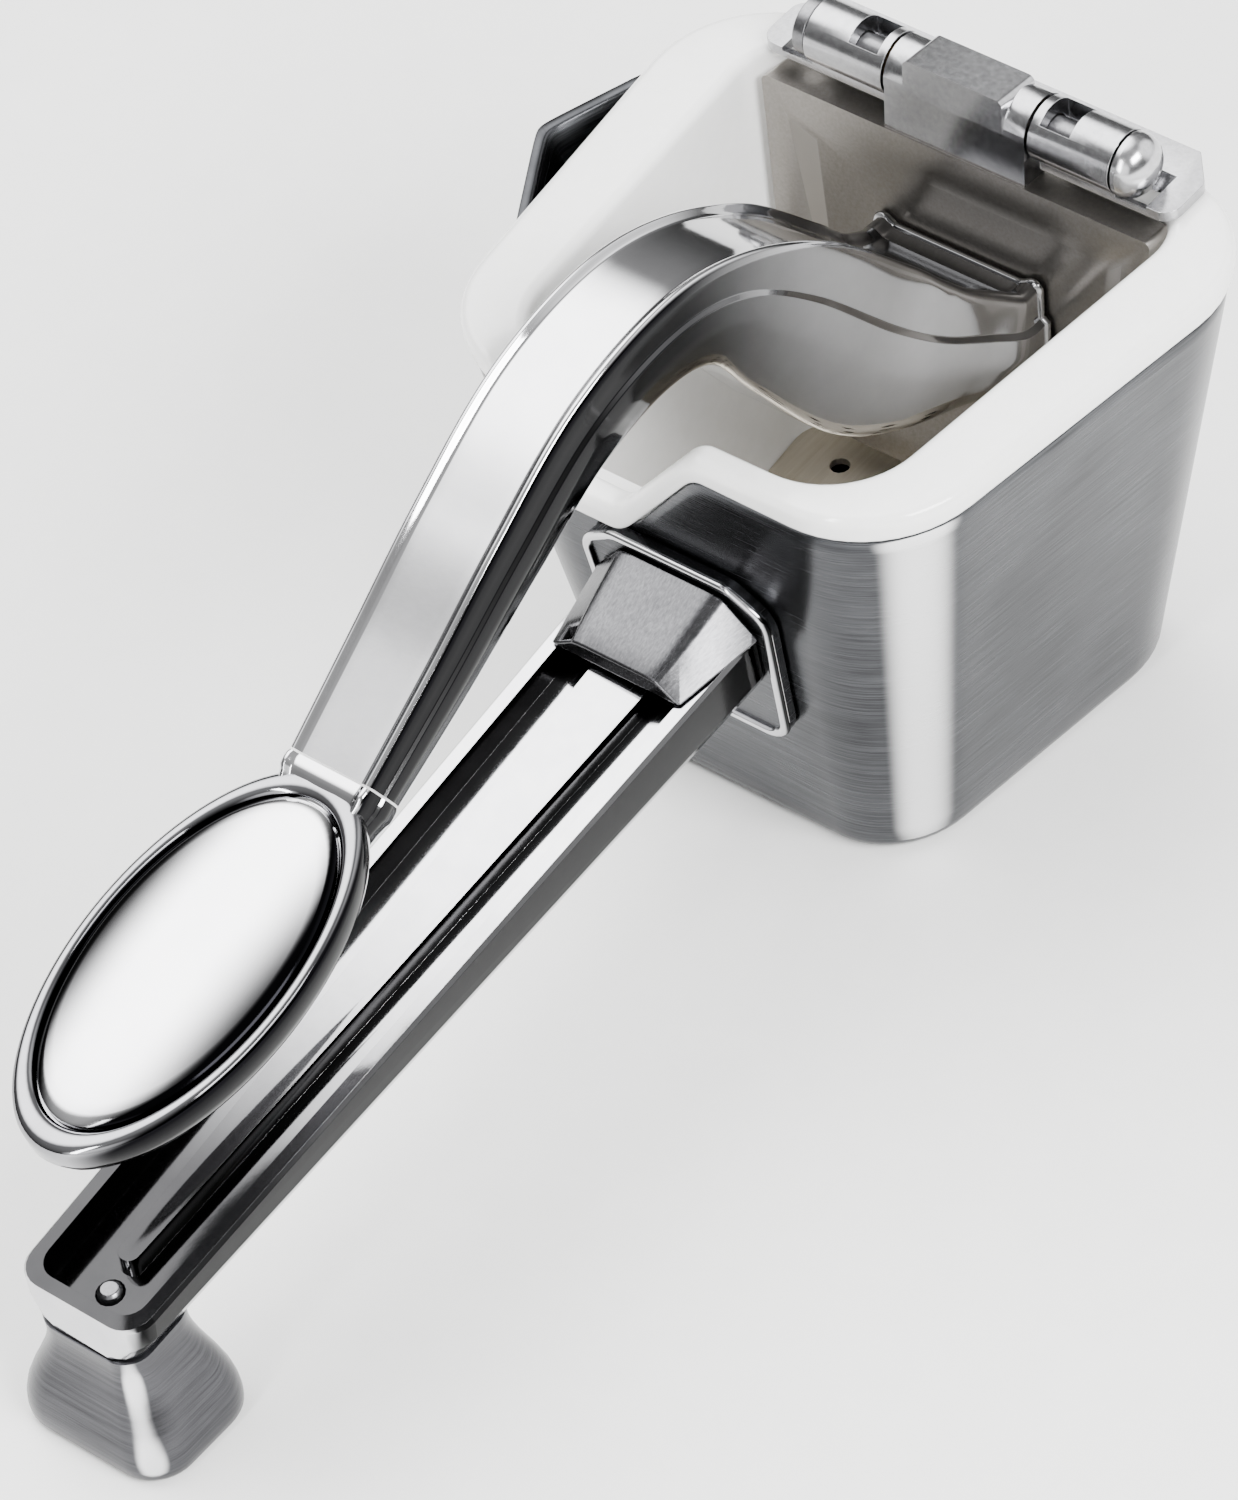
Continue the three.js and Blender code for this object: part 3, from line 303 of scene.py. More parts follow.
# Stainless strainer, rubbed satin along its length and warmed by use: cream grey, with short soft highlights.
WARM_SATIN = Finish(
    "stainless_satin_warm", "DDD6C8", "C6BDAC", metallic=0.9, roughness=0.34, spread=0.12,
    mark_mm=0.6, relief=0.25, lay=Lay.LENGTHWAYS)
# Pressed steel strap, polished on a wheel: clear reflections under a slight haze.
WHEEL_POLISHED = Finish(
    "steel_wheel_polished", "B4B4B6", "98989A", roughness=0.18, spread=0.06,
    mark_mm=0.9, relief=0.02, cloud_mm=30.0)
# Steel pin end, turned on a lathe: one bright, tight highlight.
TURNED_STEEL = Finish(
    "steel_turned_bright", "C2C2C4", "A6A6A8", roughness=0.16, spread=0.06,
    mark_mm=0.9, relief=0.02)
# Die-cast aluminium, tumbled: a soft warm grey with a fine grain, with painted light on its sides and a painted
# shade on the steps that look down at the table.
DIE_CAST = Finish(
    "aluminium_die_cast", "96928D", "827E79", roughness=0.3, spread=0.06,
    mark_mm=0.5, relief=0.05, cloud_mm=30.0, flank="B2AEA9", flank_range=(0.12, 0.4), painted_light_and_shade="4A4743",
    painted_light_faces=(0.0, -0.86, -0.51))
# Chrome plate over buffed metal: sharp reflections, a painted near-black reflection on the flanks, and a
# painted shade over the top past the crest.
MIRROR_CHROME = Finish(
    "chrome_plate_mirror", "DADADC", "CECED0", roughness=0.06, spread=0.03,
    mark_mm=6.0, relief=0.01, flank="0C0C0E", flank_ends_mm=74.0, top_shade_mm=(40.0, 66.0, 0.82))
# Chrome plate on the pad's dome, buffed last: the palest metal, with one broad soft bloom and a painted dark
# reflection on its sides.
PAD_CHROME = Finish(
    "chrome_plate_pad_face", "ECECEE", "E2E2E4", roughness=0.09, spread=0.03,
    mark_mm=6.0, relief=0.01, flank="0C0C0E", flank_range=(0.1, 0.36))
# Chrome plate on the pad's rim: a mid grey ring, darker than the dome, that sets the pale dome off, with a
# painted dark reflection on its sides.
RIM_CHROME = Finish(
    "chrome_plate_pad_rim", "98989B", "8A8A8D", roughness=0.06, spread=0.03,
    mark_mm=6.0, relief=0.01, flank="0C0C0E", flank_range=(0.3, 0.75))
# Chrome plate over a pressed channel, buffed less than the arm: softer reflections, with a painted dark
# reflection on the flanks and a painted shade on the top that deepens towards the foot.
HANDLE_CHROME = Finish(
    "chrome_plate_handle", "D0D0D2", "BDBDC0", roughness=0.07, spread=0.04,
    mark_mm=5.0, relief=0.02, flank="080809", top_shade_mm=(-12.0, -78.0, 0.95))
# Pressed steel hood, rubbed satin along its length: a plain mid grey that tells its facets apart.
SATIN_HOOD = Finish(
    "steel_satin_hood", "68686A", "404042", roughness=0.22, spread=0.08,
    mark_mm=0.3, relief=0.1, lay=Lay.LENGTHWAYS)
# Steel foot, brushed level round its waist: dark streaked sides and a painted highlight on the faces that look
# to the front corner.
BRUSHED_FOOT = Finish(
    "steel_brushed_foot", "58585B", "333335", roughness=0.2, spread=0.08,
    mark_mm=0.24, relief=0.05, lay=Lay.ACROSS, stretch=0.6, painted_light_and_shade="E4E4E6", painted_light_faces=(0.62, -0.75, 0.2))
# Screw and rivet heads, tumbled: small satin dots that hardly glint.
SATIN_SCREW = Finish(
    "steel_satin_screw", "848486", "68686A", roughness=0.26, spread=0.08,
    mark_mm=0.5, relief=0.05)
# Bushes of sintered bronze: a dull golden line at each side of the knuckle.
BRONZE = Finish(
    "bronze_sintered", "B58F55", "8E6C3B", roughness=0.35, spread=0.12,
    mark_mm=0.5, relief=0.3)
# Board under the press, rolled with matt paint: a pale ground that takes soft shadows.
PALE_BOARD = Finish(
    "board_painted_pale", "F4F4F3", "EFEFEE", metallic=0.0, roughness=0.5, spread=0.1,
    mark_mm=9.0, relief=0.02, cloud_mm=300.0)


# ---- Mesh tools ----


def rounded(corners: Sequence[Corner], arc_steps: int = 8, side_steps: Sequence[int] = (1,)) -> list[Vector]:
    """Round the corners of a closed outline.

    Args:
        corners: x, y and radius of each corner, counter-clockwise.
        arc_steps: steps along each round corner.
        side_steps: steps along each straight side, from each corner to the next.

    Returns:
        The outline's points, in order.
    """
    arcs = []
    count = len(corners)
    for i, (x, y, radius) in enumerate(corners):
        corner = Vector((x, y))
        before = (Vector(corners[i - 1][:2]) - corner).normalized()
        after = (Vector(corners[(i + 1) % count][:2]) - corner).normalized()
        half = before.angle(after) / 2
        if radius <= 0 or half > math.pi / 2 - 1e-3:
            arcs.append([corner])
            continue
        centre = corner + (before + after).normalized() * radius / math.sin(half)
        start = corner + before * radius / math.tan(half) - centre
        turn = (corner + after * radius / math.tan(half) - centre).angle_signed(start)
        first = math.atan2(start.y, start.x)
        angles = [first + turn * k / arc_steps for k in range(arc_steps + 1)]
        arcs.append([centre + radius * Vector((math.cos(angle), math.sin(angle))) for angle in angles])
    points = []
    for i, arc in enumerate(arcs):
        points.extend(arc)
        steps = side_steps[i % len(side_steps)]
        following = arcs[(i + 1) % count][0]
        points.extend(arc[-1].lerp(following, k / steps) for k in range(1, steps))
    return points


def curve_through(stations: Sequence[Sequence[float]], share: float) -> list[float]:
    """Follow a smooth line through stations of any number of values.

    Args:
        stations: the values at each station.
        share: how far along, from 0 to 1.

    Returns:
        The values there.
    """
    last = len(stations) - 1
    at = min(max(share, 0.0), 1.0) * last
    i = min(int(at), last - 1)
    t = at - i
    a, b, c, d = (stations[min(max(k, 0), last)] for k in (i - 1, i, i + 1, i + 2))
    return [0.5 * (2 * q + (r - p) * t + (2 * p - 5 * q + 4 * r - s) * t * t + (3 * q - p - 3 * r + s) * t ** 3)
            for p, q, r, s in zip(a, b, c, d)]


def shaded(piece: Piece, sharp_degrees: float = 38.0) -> Piece:
    """Shade a piece smooth, apart from edges that turn more than an angle, and return it."""
    piece.data.shade_smooth()
    piece.data.set_sharp_from_angle(angle=math.radians(sharp_degrees))
    return piece


def object_from(bm: bmesh.types.BMesh, name: str) -> Piece:
    """Finish a bmesh as an object whose place is in its mesh.

    Args:
        bm: the bmesh, which is freed.
        name: the object's name.

    Returns:
        The object.
    """
    mesh = bpy.data.meshes.new(name)
    bm.to_mesh(mesh)
    bm.free()
    piece = bpy.data.objects.new(name, mesh)
    bpy.context.scene.collection.objects.link(piece)
    return piece


def skin(name: str, rings: Iterable[Ring], joined: bool = False) -> Piece:
    """Skin a run of rings: a circle is extruded ring by ring, and each ring moved to its place.

    Args:
        name: the piece's name.
        rings: points of each ring, in metres, the same number in each.
        joined: whether the last ring is the first again; otherwise both ends are closed.

    Returns:
        The piece.
    """
    rings = list(rings)
    bm = bmesh.new()
    bmesh.ops.create_circle(bm, segments=len(rings[0]), radius=1.0)
    row = list(bm.verts)
    edges = list(bm.edges)
    ends = [edges]
    for vert, point in zip(row, rings[0]):
        vert.co = point
    for ring in rings[1:]:
        made = bmesh.ops.extrude_edge_only(bm, edges=edges)["geom"]
        new = {item for item in made if isinstance(item, bmesh.types.BMVert)}
        edges = [item for item in made if isinstance(item, bmesh.types.BMEdge)
                 and item.verts[0] in new and item.verts[1] in new]
        row = [next(edge.other_vert(vert) for edge in vert.link_edges if edge.other_vert(vert) in new)
               for vert in row]
        for vert, point in zip(row, ring):
            vert.co = point
    if not joined:
        for loop in (*ends, edges):
            bmesh.ops.contextual_create(bm, geom=loop)
    bmesh.ops.remove_doubles(bm, verts=bm.verts, dist=MERGE_DISTANCE)
    bmesh.ops.recalc_face_normals(bm, faces=bm.faces)
    return shaded(object_from(bm, name))


def softened(node: str, name: str, edge_mm: float, sharp_degrees: float = 30.0) -> Piece:
    """Copy a CAD node, merge it, and round its edges.

    Args:
        node: the CAD node.
        name: the copy's name.
        edge_mm: width of the round edges.
        sharp_degrees: edges that turn more than this are rounded.

    Returns:
        The copy.
    """
    bm = bmesh.new()
    bm.from_mesh(frame["nodes"][node].data)
    bmesh.ops.remove_doubles(bm, verts=bm.verts, dist=2 * MERGE_DISTANCE)
    bmesh.ops.dissolve_limit(bm, angle_limit=math.radians(0.5), verts=bm.verts, edges=bm.edges,
                             use_dissolve_boundaries=False, delimit={"NORMAL"})
    piece = shaded(object_from(bm, name), sharp_degrees)
    if edge_mm > 0:
        bevel = piece.modifiers.new("edges", "BEVEL")
        bevel.width = edge_mm * MM
        bevel.segments = 3
        bevel.limit_method = "ANGLE"
        bevel.angle_limit = math.radians(sharp_degrees)
        bevel.harden_normals = True
        bevel.use_clamp_overlap = True
    return piece


def dressed(piece: Piece, finish: Finish, body: str, slot: str, *nodes: str) -> Piece:
    """Give a piece its finish, its body and the CAD nodes it stands for.

    Args:
        piece: the piece.
        finish: its finish.
        body: the CAD body it rides on.
        slot: the record's material slot; not used.
        nodes: the CAD nodes it replaces.

    Returns:
        The piece.
    """
    piece.data.materials.clear()
    piece.data.materials.append(finish.material())
    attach(piece, body)
    if nodes:
        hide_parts(*nodes)
    LOG.info("%s: %d vertices, %s", piece.name, len(piece.data.vertices), finish.name)
    return piece


def dressed_above(piece: Piece, finish: Finish, belongs: Callable[[Vector], bool]) -> None:
    """Give the faces that a rule picks another finish.

    Args:
        piece: the piece, already dressed.
        finish: the other finish.
        belongs: whether a face with this middle takes it.
    """
    piece.data.materials.append(finish.material())
    for face in piece.data.polygons:
        if belongs(face.center):
            face.material_index = 1


# ---- Where the press stands in the row frame ----


@dataclass(frozen=True)
class Seat:
    """The cup's middle in the row frame, taken from the hinge. Sizes below are in mm around it."""

    x: float
    y: float
    axis_y: float = 32.0
    axis_z: float = 79.5

    @classmethod
    def from_frame(cls) -> "Seat":
        """Read the seat from the lever's joint."""
        place = frame["joints"][0]["pos_m"]
        return cls(place[0] / MM, place[1] / MM - cls.axis_y)

    def at(self, x: float, y: float, z: float) -> Vector:
        """A point of the cup's own frame, in metres of the row frame."""
        return Vector(((self.x + x) * MM, (self.y + y) * MM, z * MM))


SEAT = Seat.from_frame()


# ---- Cup ----


@dataclass(frozen=True)
class Taper:
    """A rounded box that leans in from top to bottom, sizes at the cup's top edge.

    side_steps are for its right, rear, left (the spout) and front (the notch).
    """

    front: float
    rear: float
    end: float
    front_corner: float
    rear_corner: float
    side_draft: float
    end_draft: float = 8.2
    height: float = 69.6
    arc_steps: int = 12
    side_steps: tuple[int, ...] = (16, 16, 60, 72)

    def outline(self, grow: float = 0.0) -> list[Vector]:
        """The outline at the top edge, its corners grown by a distance."""
        end = self.end + grow
        return rounded([
            (self.front + grow, -end, self.front_corner + grow),
            (self.rear + grow, end, self.rear_corner + grow),
            (-self.rear - grow, end, self.rear_corner + grow),
            (-self.front - grow, -end, self.front_corner + grow),
        ], self.arc_steps, self.side_steps)

    def leaned(self, point: Vector, z: float, inset: float = 0.0) -> Vector:
        """Move a point of the top outline down the leaning wall.

        Args:
            point: a point of the outline.
            z: the height to move it to.
            inset: how far to set it in.

        Returns:
            The point on the wall.
        """
        lost = 1 - z / self.height
        mean = (self.front + self.rear) / 2
        return Vector((point.x * (1 - (lost * self.side_draft + inset) / mean),
                       point.y * (1 - (lost * self.end_draft + inset) / self.end), z))


@dataclass(frozen=True)
class Notch:
    """The dip in the front rim."""

    left: float = -26.1
    right: float = 6.5
    depth: float = 16.8
    left_flank: float = 7.0
    right_flank: float = 14.0
    ease: float = 1.6
    ease_steps: int = 4

    def depth_at(self, x: float, y: float) -> float:
        """How far the rim dips at a place.

        Args:
            x: across the cup.
            y: along the cup; only its front half dips.

        Returns:
            The dip in mm.
        """
        if y > 0:
            return 0.0
        offsets = [self.ease * (k / self.ease_steps - 1) for k in range(2 * self.ease_steps + 1)]
        return sum(self._plain(x + offset) for offset in offsets) / len(offsets)

    def _plain(self, x: float) -> float:
        """The dip before its corners are eased."""
        rising = min((x - self.left) / self.left_flank, (self.right - x) / self.right_flank)
        return self.depth * min(max(rising, 0.0), 1.0)


@dataclass
class Cup:
    """The steel shell with its spout, the enamelled liner and the strainer.

    The curves of the foot, the inside and the floor are heights and insets of rings. rim_under has the inset
    first.
    """

    shell: Taper = Taper(front=37.7, rear=47.1, end=38.1, front_corner=17.0, rear_corner=17.0, side_draft=12.0)
    liner: Taper = Taper(front=30.2, rear=36.5, end=35.6, front_corner=13.6, rear_corner=10.0, side_draft=5.8)
    notch: Notch = Notch()
    wall: float = 1.8
    liner_wall: float = 1.6
    spout_reach: float = 10.85
    spout_half: float = 23.0
    spout_y: float = 4.5
    spout_drop: float = 27.0
    spout_wall_x: float = -20
    spout_wall_y: float = 34
    spout_tip: float = 0.3
    spout_blunt: float = 0.002
    rim_base: float = 69.9
    rim_top: float = 74.5
    rim_over: float = 0.38
    rim_under: Levels = ((0.9, 0.0), (0.35, 0.2), (0.06, 0.6), (0.0, 1.1))
    rim_steps: int = 6
    outer_round: float = 2.0
    inner_round: float = 1.6
    dip_in: float = 0.96
    floor: float = 10.0
    floor_round: float = 1.2
    floor_curve: Levels = ((0.4, 0.3), (0.0, 1.2), (0.0, 3.3))
    liner_bottom: float = 8.0
    liner_steps: int = 8
    foot_curve: Levels = (
        (0.0, 8.0), (0.0, 2.6), (0.12, 1.7), (0.45, 0.95), (1.0, 0.4), (1.8, 0.08), (2.4, 0.0))
    lip: float = 0.3
    inside_low: float = 5.0
    inside_curve: Levels = ((3.6, 0.4), (3.0, 1.6), (3.0, 7.2))
    wall_steps: int = 26

    def build(self) -> list[Piece]:
        """Build, dress and return the cup's pieces."""
        shell = dressed(self._shell(), BRUSHED_SHELL, CUP_BODY, "shell_steel", "outer_shell")
        liner = dressed(self._liner(), WHITE_ENAMEL, CUP_BODY, "liner_enamel", "inner_liner")
        strainer = dressed(softened("strainer_plate", "strainer", 0.12), WARM_SATIN, CUP_BODY,
                           "strainer_steel", "strainer_plate")
        return [shell, liner, strainer]

    def _spout(self, point: Vector, top: float) -> Vector:
        """Push a point of the left wall out into the spout.

        Args:
            point: a point of the wall.
            top: the height of the cup's edge.

        Returns:
            The same point, moved if it is in the spout.
        """
        if point.x > self.spout_wall_x or abs(point.y) > self.spout_wall_y:
            return point
        rise = min(max(1 + (point.z - top) / self.spout_drop, 0.0), 1.0)
        breadth = self.spout_half * (self.spout_tip + (1 - self.spout_tip) * rise)
        away = abs(point.y - self.spout_y) / breadth
        ridge = 1 - math.sqrt(away * away + self.spout_blunt) + math.sqrt(self.spout_blunt)
        point.x -= self.spout_reach * rise * max(ridge, 0.0)
        return point

    def _shell_ring(self, low: float, share: float, inset: float) -> Ring:
        """A ring of the shell between a low level and the top edge.

        Args:
            low: height of the low level.
            share: how far up towards the edge, which dips at the notch.
            inset: how far in from the outside.

        Returns:
            The ring.
        """
        height = self.shell.height
        points = []
        for point in self.shell.outline():
            dip = self.notch.depth_at(point.x, point.y)
            z = low + (height - dip - low) * share if share > 0 else low
            points.append(SEAT.at(*self._spout(self.shell.leaned(point, z, inset), height)))
        return points

    def _shell_edge(self, drop: float, inset: float) -> Ring:
        """A ring of the shell that follows the top edge, a drop below it and set in."""
        height = self.shell.height
        return [SEAT.at(*self._spout(
            self.shell.leaned(point, height - self.notch.depth_at(point.x, point.y) - drop, inset), height))
            for point in self.shell.outline()]

    def _shell(self) -> Piece:
        """The outer shell: floor, wall, top edge and inside, as one run of rings."""
        wall, lip, steps = self.wall, self.lip, self.wall_steps
        foot_top = self.foot_curve[-1][0]
        rings = [self._shell_ring(z, 0, inset) for z, inset in self.foot_curve]
        rings += [self._shell_ring(foot_top, k / steps, 0) for k in range(1, steps)]
        rings += [self._shell_edge(drop, inset) for drop, inset in (
            (lip, 0), (0.3 * lip, 0.3 * lip), (0, lip),
            (0, wall - lip), (0.3 * lip, wall - 0.3 * lip), (lip, wall))]
        rings += [self._shell_ring(self.inside_low, 1 - k / steps, wall) for k in range(1, steps)]
        rings += [self._shell_ring(z, 0, wall + inset) for z, inset in self.inside_curve]
        return skin("cup_shell", rings)

    def _liner_wall(self, low: float, high: float, share: float, inset: float) -> Ring:
        """A ring of the liner's wall.

        Args:
            low: height of the wall's foot.
            high: height of its top, which dips at the notch.
            share: how far up between the two.
            inset: how far in from the outside.

        Returns:
            The ring.
        """
        points = []
        for point in self.liner.outline():
            dip = self.notch.depth_at(point.x * self.dip_in, point.y)
            points.append(SEAT.at(*self.liner.leaned(point, low + (high - dip - low) * share, inset)))
        return points

    def _liner_rim(self, across: float, in_mm: float, z: float) -> Ring:
        """A ring of the flat rim, between the shell's outside and the liner's inside.

        Args:
            across: share of the way in.
            in_mm: a further distance in.
            z: its height where the rim doesn't dip.

        Returns:
            The ring.
        """
        points = []
        for far, near in zip(self.shell.outline(self.rim_over), self.liner.outline()):
            flat_out = self.shell.leaned(far, z)
            step = self.liner.leaned(near, z, self.liner_wall) - flat_out
            length = max(step.length, MERGE_DISTANCE)
            place = flat_out + step * min(max(across + in_mm / length, 0.0), 1.0)
            place.z = z - self.notch.depth_at(place.x, place.y)
            points.append(SEAT.at(*place))
        return points

    def _liner(self) -> Piece:
        """The liner: outside wall, rolled rim, inside wall and ledge, as a closed run of rings."""
        thin, top, base, floor = self.liner_wall, self.rim_top, self.rim_base, self.floor
        bends = [math.pi / 2 * k / self.rim_steps for k in range(1, self.rim_steps + 1)]
        rings = [self._liner_wall(self.liner_bottom, base, k / self.liner_steps, 0)
                 for k in range(self.liner_steps)]
        rings.append(self._liner_rim(1, -thin, base))
        rings += [self._liner_rim(0, in_mm, base + rise) for in_mm, rise in self.rim_under]
        rings.append(self._liner_rim(0, 0, top - self.outer_round))
        rings += [self._liner_rim(0, self.outer_round * (1 - math.cos(bend)),
                                  top - self.outer_round + self.outer_round * math.sin(bend)) for bend in bends]
        rings.append(self._liner_rim(0.5, 0, top))
        rings += [self._liner_rim(1, -self.inner_round * (1 - math.cos(bend)),
                                  top - self.inner_round + self.inner_round * math.sin(bend))
                  for bend in reversed(bends)]
        low, high = floor + self.floor_round, top - self.inner_round
        rings += [self._liner_wall(low, high, 1 - k / self.wall_steps, thin)
                  for k in range(self.wall_steps + 1)]
        rings += [self._liner_wall(floor + rise, top, 0, thin + inset) for rise, inset in self.floor_curve]
        rings.append(self._liner_wall(self.liner_bottom, top, 0, thin + self.floor_curve[-1][1]))
        rings.append(rings[0])
        return skin("cup_liner", rings, joined=True)


# ---- Hinge ----


@dataclass
class Hinge:
    """Strap, barrels, pin, rivets and bushes."""

    rivets: int = 4

    def build(self) -> list[Piece]:
        """Build, dress and return the hinge's pieces."""
        made = [
            dressed(softened("hinge_bracket", "hinge_strap", 0.35), WHEEL_POLISHED, CUP_BODY,
                    "hinge_steel", "hinge_bracket"),
            dressed(softened("hinge_pin", "hinge_pin_rod", 0.25), SATIN_SCREW, CUP_BODY,
                    "pin_steel", "hinge_pin"),
            dressed(softened("pin_dome_cap", "hinge_pin_dome", 0.2), TURNED_STEEL, CUP_BODY,
                    "pin_steel", "pin_dome_cap"),
        ]
        for i in range(1, self.rivets + 1):
            node = f"apron_rivet_{i}"
            made.append(dressed(softened(node, f"apron_rivet_head_{i}", 0.15), SATIN_SCREW, CUP_BODY,
                                "rivet_steel", node))
        for side in ("left", "right"):
            node = f"hinge_bush_{side}"
            bush = softened(node, f"bush_{side}", 0.15)
            made.append(dressed(bush, BRONZE, LEVER_BODY, "bush_bronze", node))
        return made


# ---- Press plate and lever ----


@dataclass
class Lever:
    """The press plate, the curved arm and its screws.

    Each station of the arm is forward of the pin, rise over the rim, depth and half width.
    """

    arm_stations: tuple[tuple[float, ...], ...] = (
        (18.0, -17.0, 18.0, 13.2),
        (26.0, -12.5, 22.0, 11.4),
        (34.2, -5.2, 24.6, 9.6),
        (46.6, 9.9, 22.0, 8.4),
        (58.0, 20.6, 16.2, 8.0),
        (71.0, 24.6, 15.0, 8.0),
        (87.0, 22.2, 14.6, 8.0),
        (103.0, 14.0, 13.4, 8.0),
        (118.0, 5.0, 11.6, 7.8),
        (132.5, -3.2, 9.7, 7.4),
    )
    right_side: tuple[Corner, ...] = (
        (0.84, -0.5, 0.3), (1.0, -0.08, 0.3), (0.99, 0.13, 0.02), (0.93, 0.17, 0.02), (0.91, 0.495, 0.1),
        (0.79, 0.495, 0.05), (0.68, 0.44, 0.16))
    root_drop: float = 31.0
    root_depth: float = 16.0
    root_half: float = 15.0
    root_out: float = 3.3
    root_run: float = 5
    root_bead: Levels = (
        (0.0, 0.0), (0.1, 0.3), (0.35, 0.45), (0.65, 0.45), (0.9, 0.3), (1.05, -0.1), (1.3, -0.2))
    rim_height: float = Taper.height
    lean: float = math.atan(Taper.end_draft / Taper.height)
    steps: int = 110
    look_ahead: float = 0.004
    knuckle_drop: float = 5.2

    def build(self) -> list[Piece]:
        """Build, dress and return the lever's pieces."""
        made = [
            dressed(softened("press_plate", "plate_casting", 0.5), DIE_CAST, LEVER_BODY,
                    "plate_cast", "press_plate"),
            dressed(self._arm(), MIRROR_CHROME, LEVER_BODY, "arm_chrome", "lever_arm"),
        ]
        dressed_above(made[0], WHEEL_POLISHED, lambda place: place.z > (SEAT.axis_z - self.knuckle_drop) * MM)
        for i in (1, 2):
            node = f"plate_screw_{i}"
            made.append(dressed(softened(node, f"plate_screw_head_{i}", 0.15), SATIN_SCREW, LEVER_BODY,
                                "screw_steel", node))
        return made

    def on_plate(self, up: float, out: float) -> Vector:
        """A point in the middle plane: along the plate up from the pin, and out of its face."""
        cos, sin = math.cos(self.lean), math.sin(self.lean)
        return Vector((0, SEAT.axis_y + up * sin - out * cos, SEAT.axis_z + up * cos + out * sin))

    def stations(self) -> list[tuple[float, ...]]:
        """y, z, depth and half width of each station, from the plate to the pad."""
        root = self.on_plate(-self.root_drop, self.root_out)
        leaving = self.on_plate(-self.root_drop, self.root_out + self.root_run)
        first = [(place.y, place.z, self.root_depth, self.root_half) for place in (root, leaving)]
        rest = [(SEAT.axis_y - forward, self.rim_height + rise, depth, half)
                for forward, rise, depth, half in self.arm_stations]
        return first + rest

    def section(self) -> list[Vector]:
        """The arm's section on a unit square: a dish between two thin top rims, and a ledge on each flank."""
        left = [(-x, y, radius) for x, y, radius in reversed(self.right_side)]
        return rounded([left[-1], *self.right_side, *left[:-1]], 5, (6, 3, 2, 1, 2, 1, 2, 8, 2, 1, 2, 1, 2, 3))

    def ring(self, middle: Vector, up: Vector, depth: float, half: float) -> Ring:
        """The section at a place of the arm.

        Args:
            middle: the section's middle.
            up: the way its top faces.
            depth: its depth.
            half: half its width.

        Returns:
            The ring.
        """
        return [SEAT.at(point.x * half, *(middle + up * point.y * depth).yz) for point in self.section()]

    def _root_bead(self, root: Sequence[float]) -> list[Ring]:
        """Rings of the arm's root, with the bead that seats on the plate.

        Args:
            root: y, z, depth and half width of the root.

        Returns:
            The rings, from the plate outwards.
        """
        y, z, depth, half = root
        out = Vector((0, -math.cos(self.lean), math.sin(self.lean)))
        up = Vector((0, out.z, -out.y))
        rings = []
        for reach, grow in self.root_bead:
            middle = Vector((0, y, z)) + out * reach
            rings.append(self.ring(middle, up, depth + 2 * grow, half + grow))
        return rings

    def _arm(self) -> Piece:
        """The arm, swept along its middle line."""
        stations = self.stations()
        rings = self._root_bead(stations[0])
        for k in range(1, self.steps + 1):
            share = k / self.steps
            y, z, depth, half = curve_through(stations, share)
            before = curve_through(stations, share - self.look_ahead)
            after = curve_through(stations, share + self.look_ahead)
            along = Vector((0, after[0] - before[0], after[1] - before[1])).normalized()
            up = Vector((0, along.z, -along.y))
            rings.append(self.ring(Vector((0, y, z)), up, depth, half))
        return skin("arm_casting", rings)


# ---- Thumb pad ----


